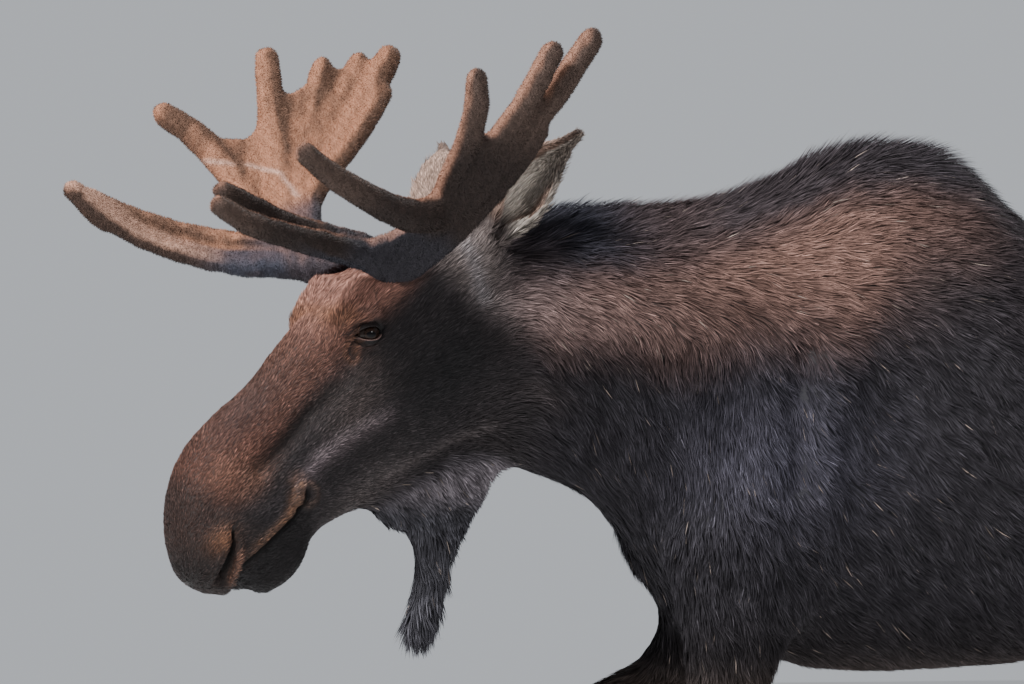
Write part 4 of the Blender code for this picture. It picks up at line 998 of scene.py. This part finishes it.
def velvet_colour(co, normal):
    """Brown with orange painted light where it faces front and up, painted shade over the left antler,
    dark along the rims, slate partly as a painted sheen on the beam and brow's root, and on the right
    brow a painted highlight on top and painted shade below.
    """
    a, n, l = head_frame(co)
    place = np.stack([a, n, np.abs(l)], 1)
    # The left antler's darker base is painted shade and the right's lighter one painted light; where
    # either faces front and up it turns to the lit colour as painted light.
    right = ease(0.0, -0.1, l)[:, None]
    colour = linear("#2c2320") * (1 - right) + linear("#5d4538") * right
    facing = ease(0.0, 0.80, normal @ np.array((-0.15, -0.80, 0.58)))
    lit = linear("#8d6654") * (1 - right) + linear("#9b6c54") * right
    colour += (lit - colour) * facing[:, None]
    right = right[:, 0]
    run = place - np.array(BURR)
    reach = np.linalg.norm(run, axis=1)
    lay(colour, "#54443c", 0.65 * ease(0.30, 0.42, reach) * (1 - right) * (1 - facing))
    sideways = (normal @ HEAD_AXES[2]) * np.sign(l)
    straight = np.stack([normal @ HEAD_AXES[0], normal @ HEAD_AXES[1], sideways], 1)
    rim = ease(0.50, 0.95, np.sum(unit(run) * straight, 1)) * ease(0.15, 0.30, reach)
    lay(colour, "#352823", 0.65 * rim)
    # Slate blue at the roots of beam and brow: partly their own colour, partly a painted sheen.
    gap, share = distance_to_line(place, BROW_LINE)
    root = np.maximum(ease(0.70, 0.45, share) * ease(0.032, 0.022, gap), 0.8 * ease(0.17, 0.11, reach))
    lay(colour, "#2d3644", root * (0.40 + 0.45 * right))
    # The right brow tine: painted shade where it faces down, a painted highlight where it faces up.
    brow = ease(0.45, 0.65, share) * ease(0.034, 0.022, gap) * right
    upward = ease(-0.10, 0.45, normal[:, 2])
    lay(colour, "#2c221e", 0.8 * brow * (1 - upward))
    lay(colour, "#a3806f", 0.6 * brow * upward)
    # The pale vein shows only where the palm has painted light.
    vein = near_line(place[:, :2], PALM_VEIN, 0.0045) * ease(-0.18, -0.21, l)
    lay(colour, "#c9a898", 0.6 * vein * facing)
    blotch = 0.5 + 0.5 * ripple(co, 0.020, 81)
    return colour * (0.84 + 0.28 * np.clip(blotch, 0, 1))[:, None]


ANTLER_GRAIN = 0.0045
# The velvet's skin is painted darker than its nap, as painted shade between the tufts.
VELVET_PAINTED_SHADE = 0.90
NAP_TUFTS = 210000.0
NAP_LENGTH, NAP_WIDTH, NAP_LIFT = 0.0042, 0.0013, math.radians(58)
NAP_ROOM = 0.0022
# Nap tufts are darker at the root as painted shade and lighter at the tip as painted light.
NAP_TUFT = ((0.0, 1.0, 0.90), (1.0, 0.0, 1.15))
for word in ("left", "right"):
    names = ["antler_" + word + "_" + part for part in ("beam", "brow", "palm")]
    antler = fused(names, "antler_velvet_" + word, ANTLER_GRAIN)
    co, edges = mesh_arrays(antler.data)
    relax(co, edges, 0.5, 4)
    soften(co, edges, 30, -0.51)
    antler.data.vertices.foreach_set("co", co.ravel())
    # the hollows between the palm's solids are filled, the right brow tine is slimmed along its
    # middle, and the whole is drawn in to leave room for the nap
    normal = vertex_normals(antler.data)
    from_palm = np.linalg.norm(co - np.array(middle_of("antler_" + word + "_palm")), axis=1)
    filled = relax(co.copy(), edges, 0.5, 40)
    fill = np.clip(np.sum((filled - co) * normal, 1), 0, None) * ease(0.20, 0.13, from_palm)
    co += normal * fill[:, None]
    relax(co, edges, 0.5, 3)
    a, n, l = head_frame(co)
    gap, share = distance_to_line(np.stack([a, n, np.abs(l)], 1), BROW_LINE)
    slim = ease(0.010, 0.022, gap) * ease(0.048, 0.034, gap)
    slim *= ease(0.15, 0.35, share) * ease(0.92, 0.80, share)
    co -= normal * (0.0055 * slim * (word == "right"))[:, None]
    co -= normal * NAP_ROOM
    co += normal * (0.0008 * ripple(co, 0.040, 82) + 0.0002 * ripple(co, 0.012, 83))[:, None]
    antler.data.vertices.foreach_set("co", co.ravel())
    marked(antler, velvet_colour(co, vertex_normals(antler.data)) * VELVET_PAINTED_SHADE, velvet)
    unwrapped(antler)

    roots = rooted(antler.data, lambda co, normal: np.full(len(co), NAP_TUFTS), 84)
    every_way = np.random.default_rng(85).normal(size=roots.co.shape)
    way = unit(np.cross(roots.normal, unit(every_way)))
    same = np.ones(len(way))
    pile = tufts("nap_" + word, roots, way, NAP_LENGTH * same, NAP_WIDTH * same, NAP_LIFT * same,
                 velvet_colour(roots.co, roots.normal), NAP_TUFT, velvet, 86, 0.20)

# ---------------------------------------------------------------- eyes
# Wet brown eyeballs: a broad dark pupil lying level, a brown iris that darkens to its edge and
# a thin dark white, all under one clear glossy surface. They sit in the lids, turned outward.

# Eyeball: a clear wet film over all its colours, so that lamps show as small sharp glints.
eyeball, tree, shader = surface("eyeball", 0.05, 0.13)
marking = add_node(tree, "ShaderNodeAttribute", attribute_name="coat")
tree.links.new(marking.outputs["Color"], shader.inputs["Base Color"])

IRIS_RAYS = 14
PUPIL_LENGTH, PUPIL_HEIGHT = 0.0085, 0.0052
CORNEA_BULGE = 0.0007
for word, side in (("left", 1), ("right", -1)):
    bpy.ops.mesh.primitive_uv_sphere_add(segments=72, ring_count=48, radius=EYE_RADIUS)
    eye = bpy.context.object
    eye.name = "eyeball_" + word
    centre = head_place(EYE_A, EYE_N, side * EYE_L)
    gaze = np.array((0.16, 0.02, side * 1.0)) @ HEAD_AXES
    gaze /= np.linalg.norm(gaze)
    level = np.cross((0, 0, 1), gaze)
    level /= np.linalg.norm(level)
    upward = np.cross(gaze, level)
    ball = mesh_arrays(eye.data)[0]
    ball = ball @ np.array([level, upward, gaze])
    across, height, out = ball @ level, ball @ upward, ball @ gaze
    ring = np.hypot(across, height) / EYE_RADIUS
    rays = 0.5 + 0.5 * np.sin(IRIS_RAYS * np.arctan2(height, across))
    iris = linear("#20140e") * (0.65 + 0.5 * rays)[:, None]
    iris *= (1 - 0.6 * ease(0.45, 0.62, ring))[:, None]
    colour = plain("#1d1613", ball)
    colour += (iris - colour) * (ease(0.66, 0.60, ring) * (out > 0))[:, None]
    pupil = ease(1.08, 0.95, np.hypot(across / PUPIL_LENGTH, height / PUPIL_HEIGHT)) * (out > 0)
    lay(colour, "#050405", pupil)
    bulge = CORNEA_BULGE * ease(0.66, 0.40, ring) * (out > 0)
    eye.data.vertices.foreach_set("co", (ball + gaze * bulge[:, None] + centre).ravel())
    marked(eye, colour, eyeball)
    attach(eye, "root")
    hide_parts("eye_" + word)

# ---------------------------------------------------------------- hooves and dewclaws
# Two claws of black horn on each foot, with growth rings across them, and a pair of small
# dewclaws behind the pastern. The hair of the foot laps over their upper edge.

# Horn: dull brown-black, worn rather than polished. The growth rings are bands of 3 mm, from a
# noise of 55 to the metre pressed flat by six.
horn, tree, shader = surface("horn", 0.55, 0.20)
place = add_node(tree, "ShaderNodeTexCoord")
pressed = add_node(tree, "ShaderNodeMapping",
                   {"Vector": place.outputs["Object"], "Scale": (1.0, 1.0, 6.0)})
rings = add_node(tree, "ShaderNodeTexNoise",
                 {"Vector": pressed.outputs[0], "Scale": 55.0, "Detail": 5.0})
ramp = add_node(tree, "ShaderNodeValToRGB", {"Fac": rings.outputs["Fac"]})
dark, light = ramp.color_ramp.elements
dark.position, light.position = 0.30, 0.75
dark.color = (*linear("#0c0a09"), 1)
light.color = (*linear("#2a2420"), 1)
tree.links.new(ramp.outputs["Color"], shader.inputs["Base Color"])
relief = add_node(tree, "ShaderNodeBump",
                  {"Height": rings.outputs["Fac"], "Strength": 0.35, "Distance": 0.001})
tree.links.new(relief.outputs[0], shader.inputs["Normal"])

SOLE = 0.0012
for foot in ("front_left", "front_right", "hind_left", "hind_right"):
    for word, grain in (("hoof", 0.0026), ("dewclaw", 0.0030)):
        names = [word + "_" + foot + "_" + half for half in ("a", "b")]
        made = fused(names, word + "_horn_" + foot, grain, 0.0002)
        co, edges = mesh_arrays(made.data)
        on_floor = co[:, 2] < SOLE
        relax(co, edges, 0.5, 5)
        co[on_floor, 2] = 0.0
        co[:, 2] = np.maximum(co[:, 2], 0.0)
        made.data.vertices.foreach_set("co", co.ravel())
        made.data.materials.clear()
        made.data.materials.append(horn)
        made.data.shade_smooth()

# ---------------------------------------------------------------- floor, light and camera
# A plain floor, a pale sky all round, and three square lamps: a high key from the front left, a
# weak fill from the left that glints in the eye, and a rim light from behind the right side.
bpy.ops.mesh.primitive_plane_add(size=60, location=(0, 0, 0))
floor = bpy.context.object
floor.name = "floor"

LAMPS = (("key", (2.6, -5.2, 6.5), 1320, 1.6), ("fill", (6.5, 2.0, 3.4), 120, 0.9),
         ("rim", (-3.5, 3.5, 5.5), 350, 2.5))
LIT_POINT = Vector((0, 0, 1.3))
for name, position, watts, size in LAMPS:
    bpy.ops.object.light_add(type="AREA", location=position)
    lamp = bpy.context.object
    lamp.name = "light_" + name
    lamp.data.energy = watts
    lamp.data.size = size
    lamp.rotation_euler = (LIT_POINT - Vector(position)).to_track_quat("-Z", "Y").to_euler()
world = bpy.data.worlds.new("studio")
bpy.context.scene.world = world
world.use_nodes = True
sky = world.node_tree.nodes["Background"]
sky.inputs["Color"].default_value = (0.90, 0.94, 1.0, 1.0)
sky.inputs["Strength"].default_value = 0.55

# The camera looks level at the left side, from far off with a long lens. PICTURE_WIDTH is the
# width of its view at the hump, in metres, and VIEW_MIDDLE the view's middle beside the hump.
CAMERA_AZIMUTH = math.radians(73)
CAMERA_DISTANCE = 20.0
PICTURE_WIDTH = 1.79649
VIEW_HEIGHT, VIEW_FORWARD = 1.537, 0.646
bpy.ops.object.camera_add()
camera = bpy.context.object
camera.name = "camera"
back = Vector((math.sin(CAMERA_AZIMUTH), -math.cos(CAMERA_AZIMUTH), 0))
right = Vector((math.cos(CAMERA_AZIMUTH), math.sin(CAMERA_AZIMUTH), 0))
target = Vector((HUMP.x, HUMP.y, VIEW_HEIGHT)) - right * VIEW_FORWARD
camera.location = target + back * CAMERA_DISTANCE
camera.rotation_euler = (-back).to_track_quat("-Z", "Y").to_euler()
camera.data.sensor_width = 36
camera.data.lens = 36 * CAMERA_DISTANCE / PICTURE_WIDTH
camera.data.clip_end = 200
bpy.context.scene.camera = camera
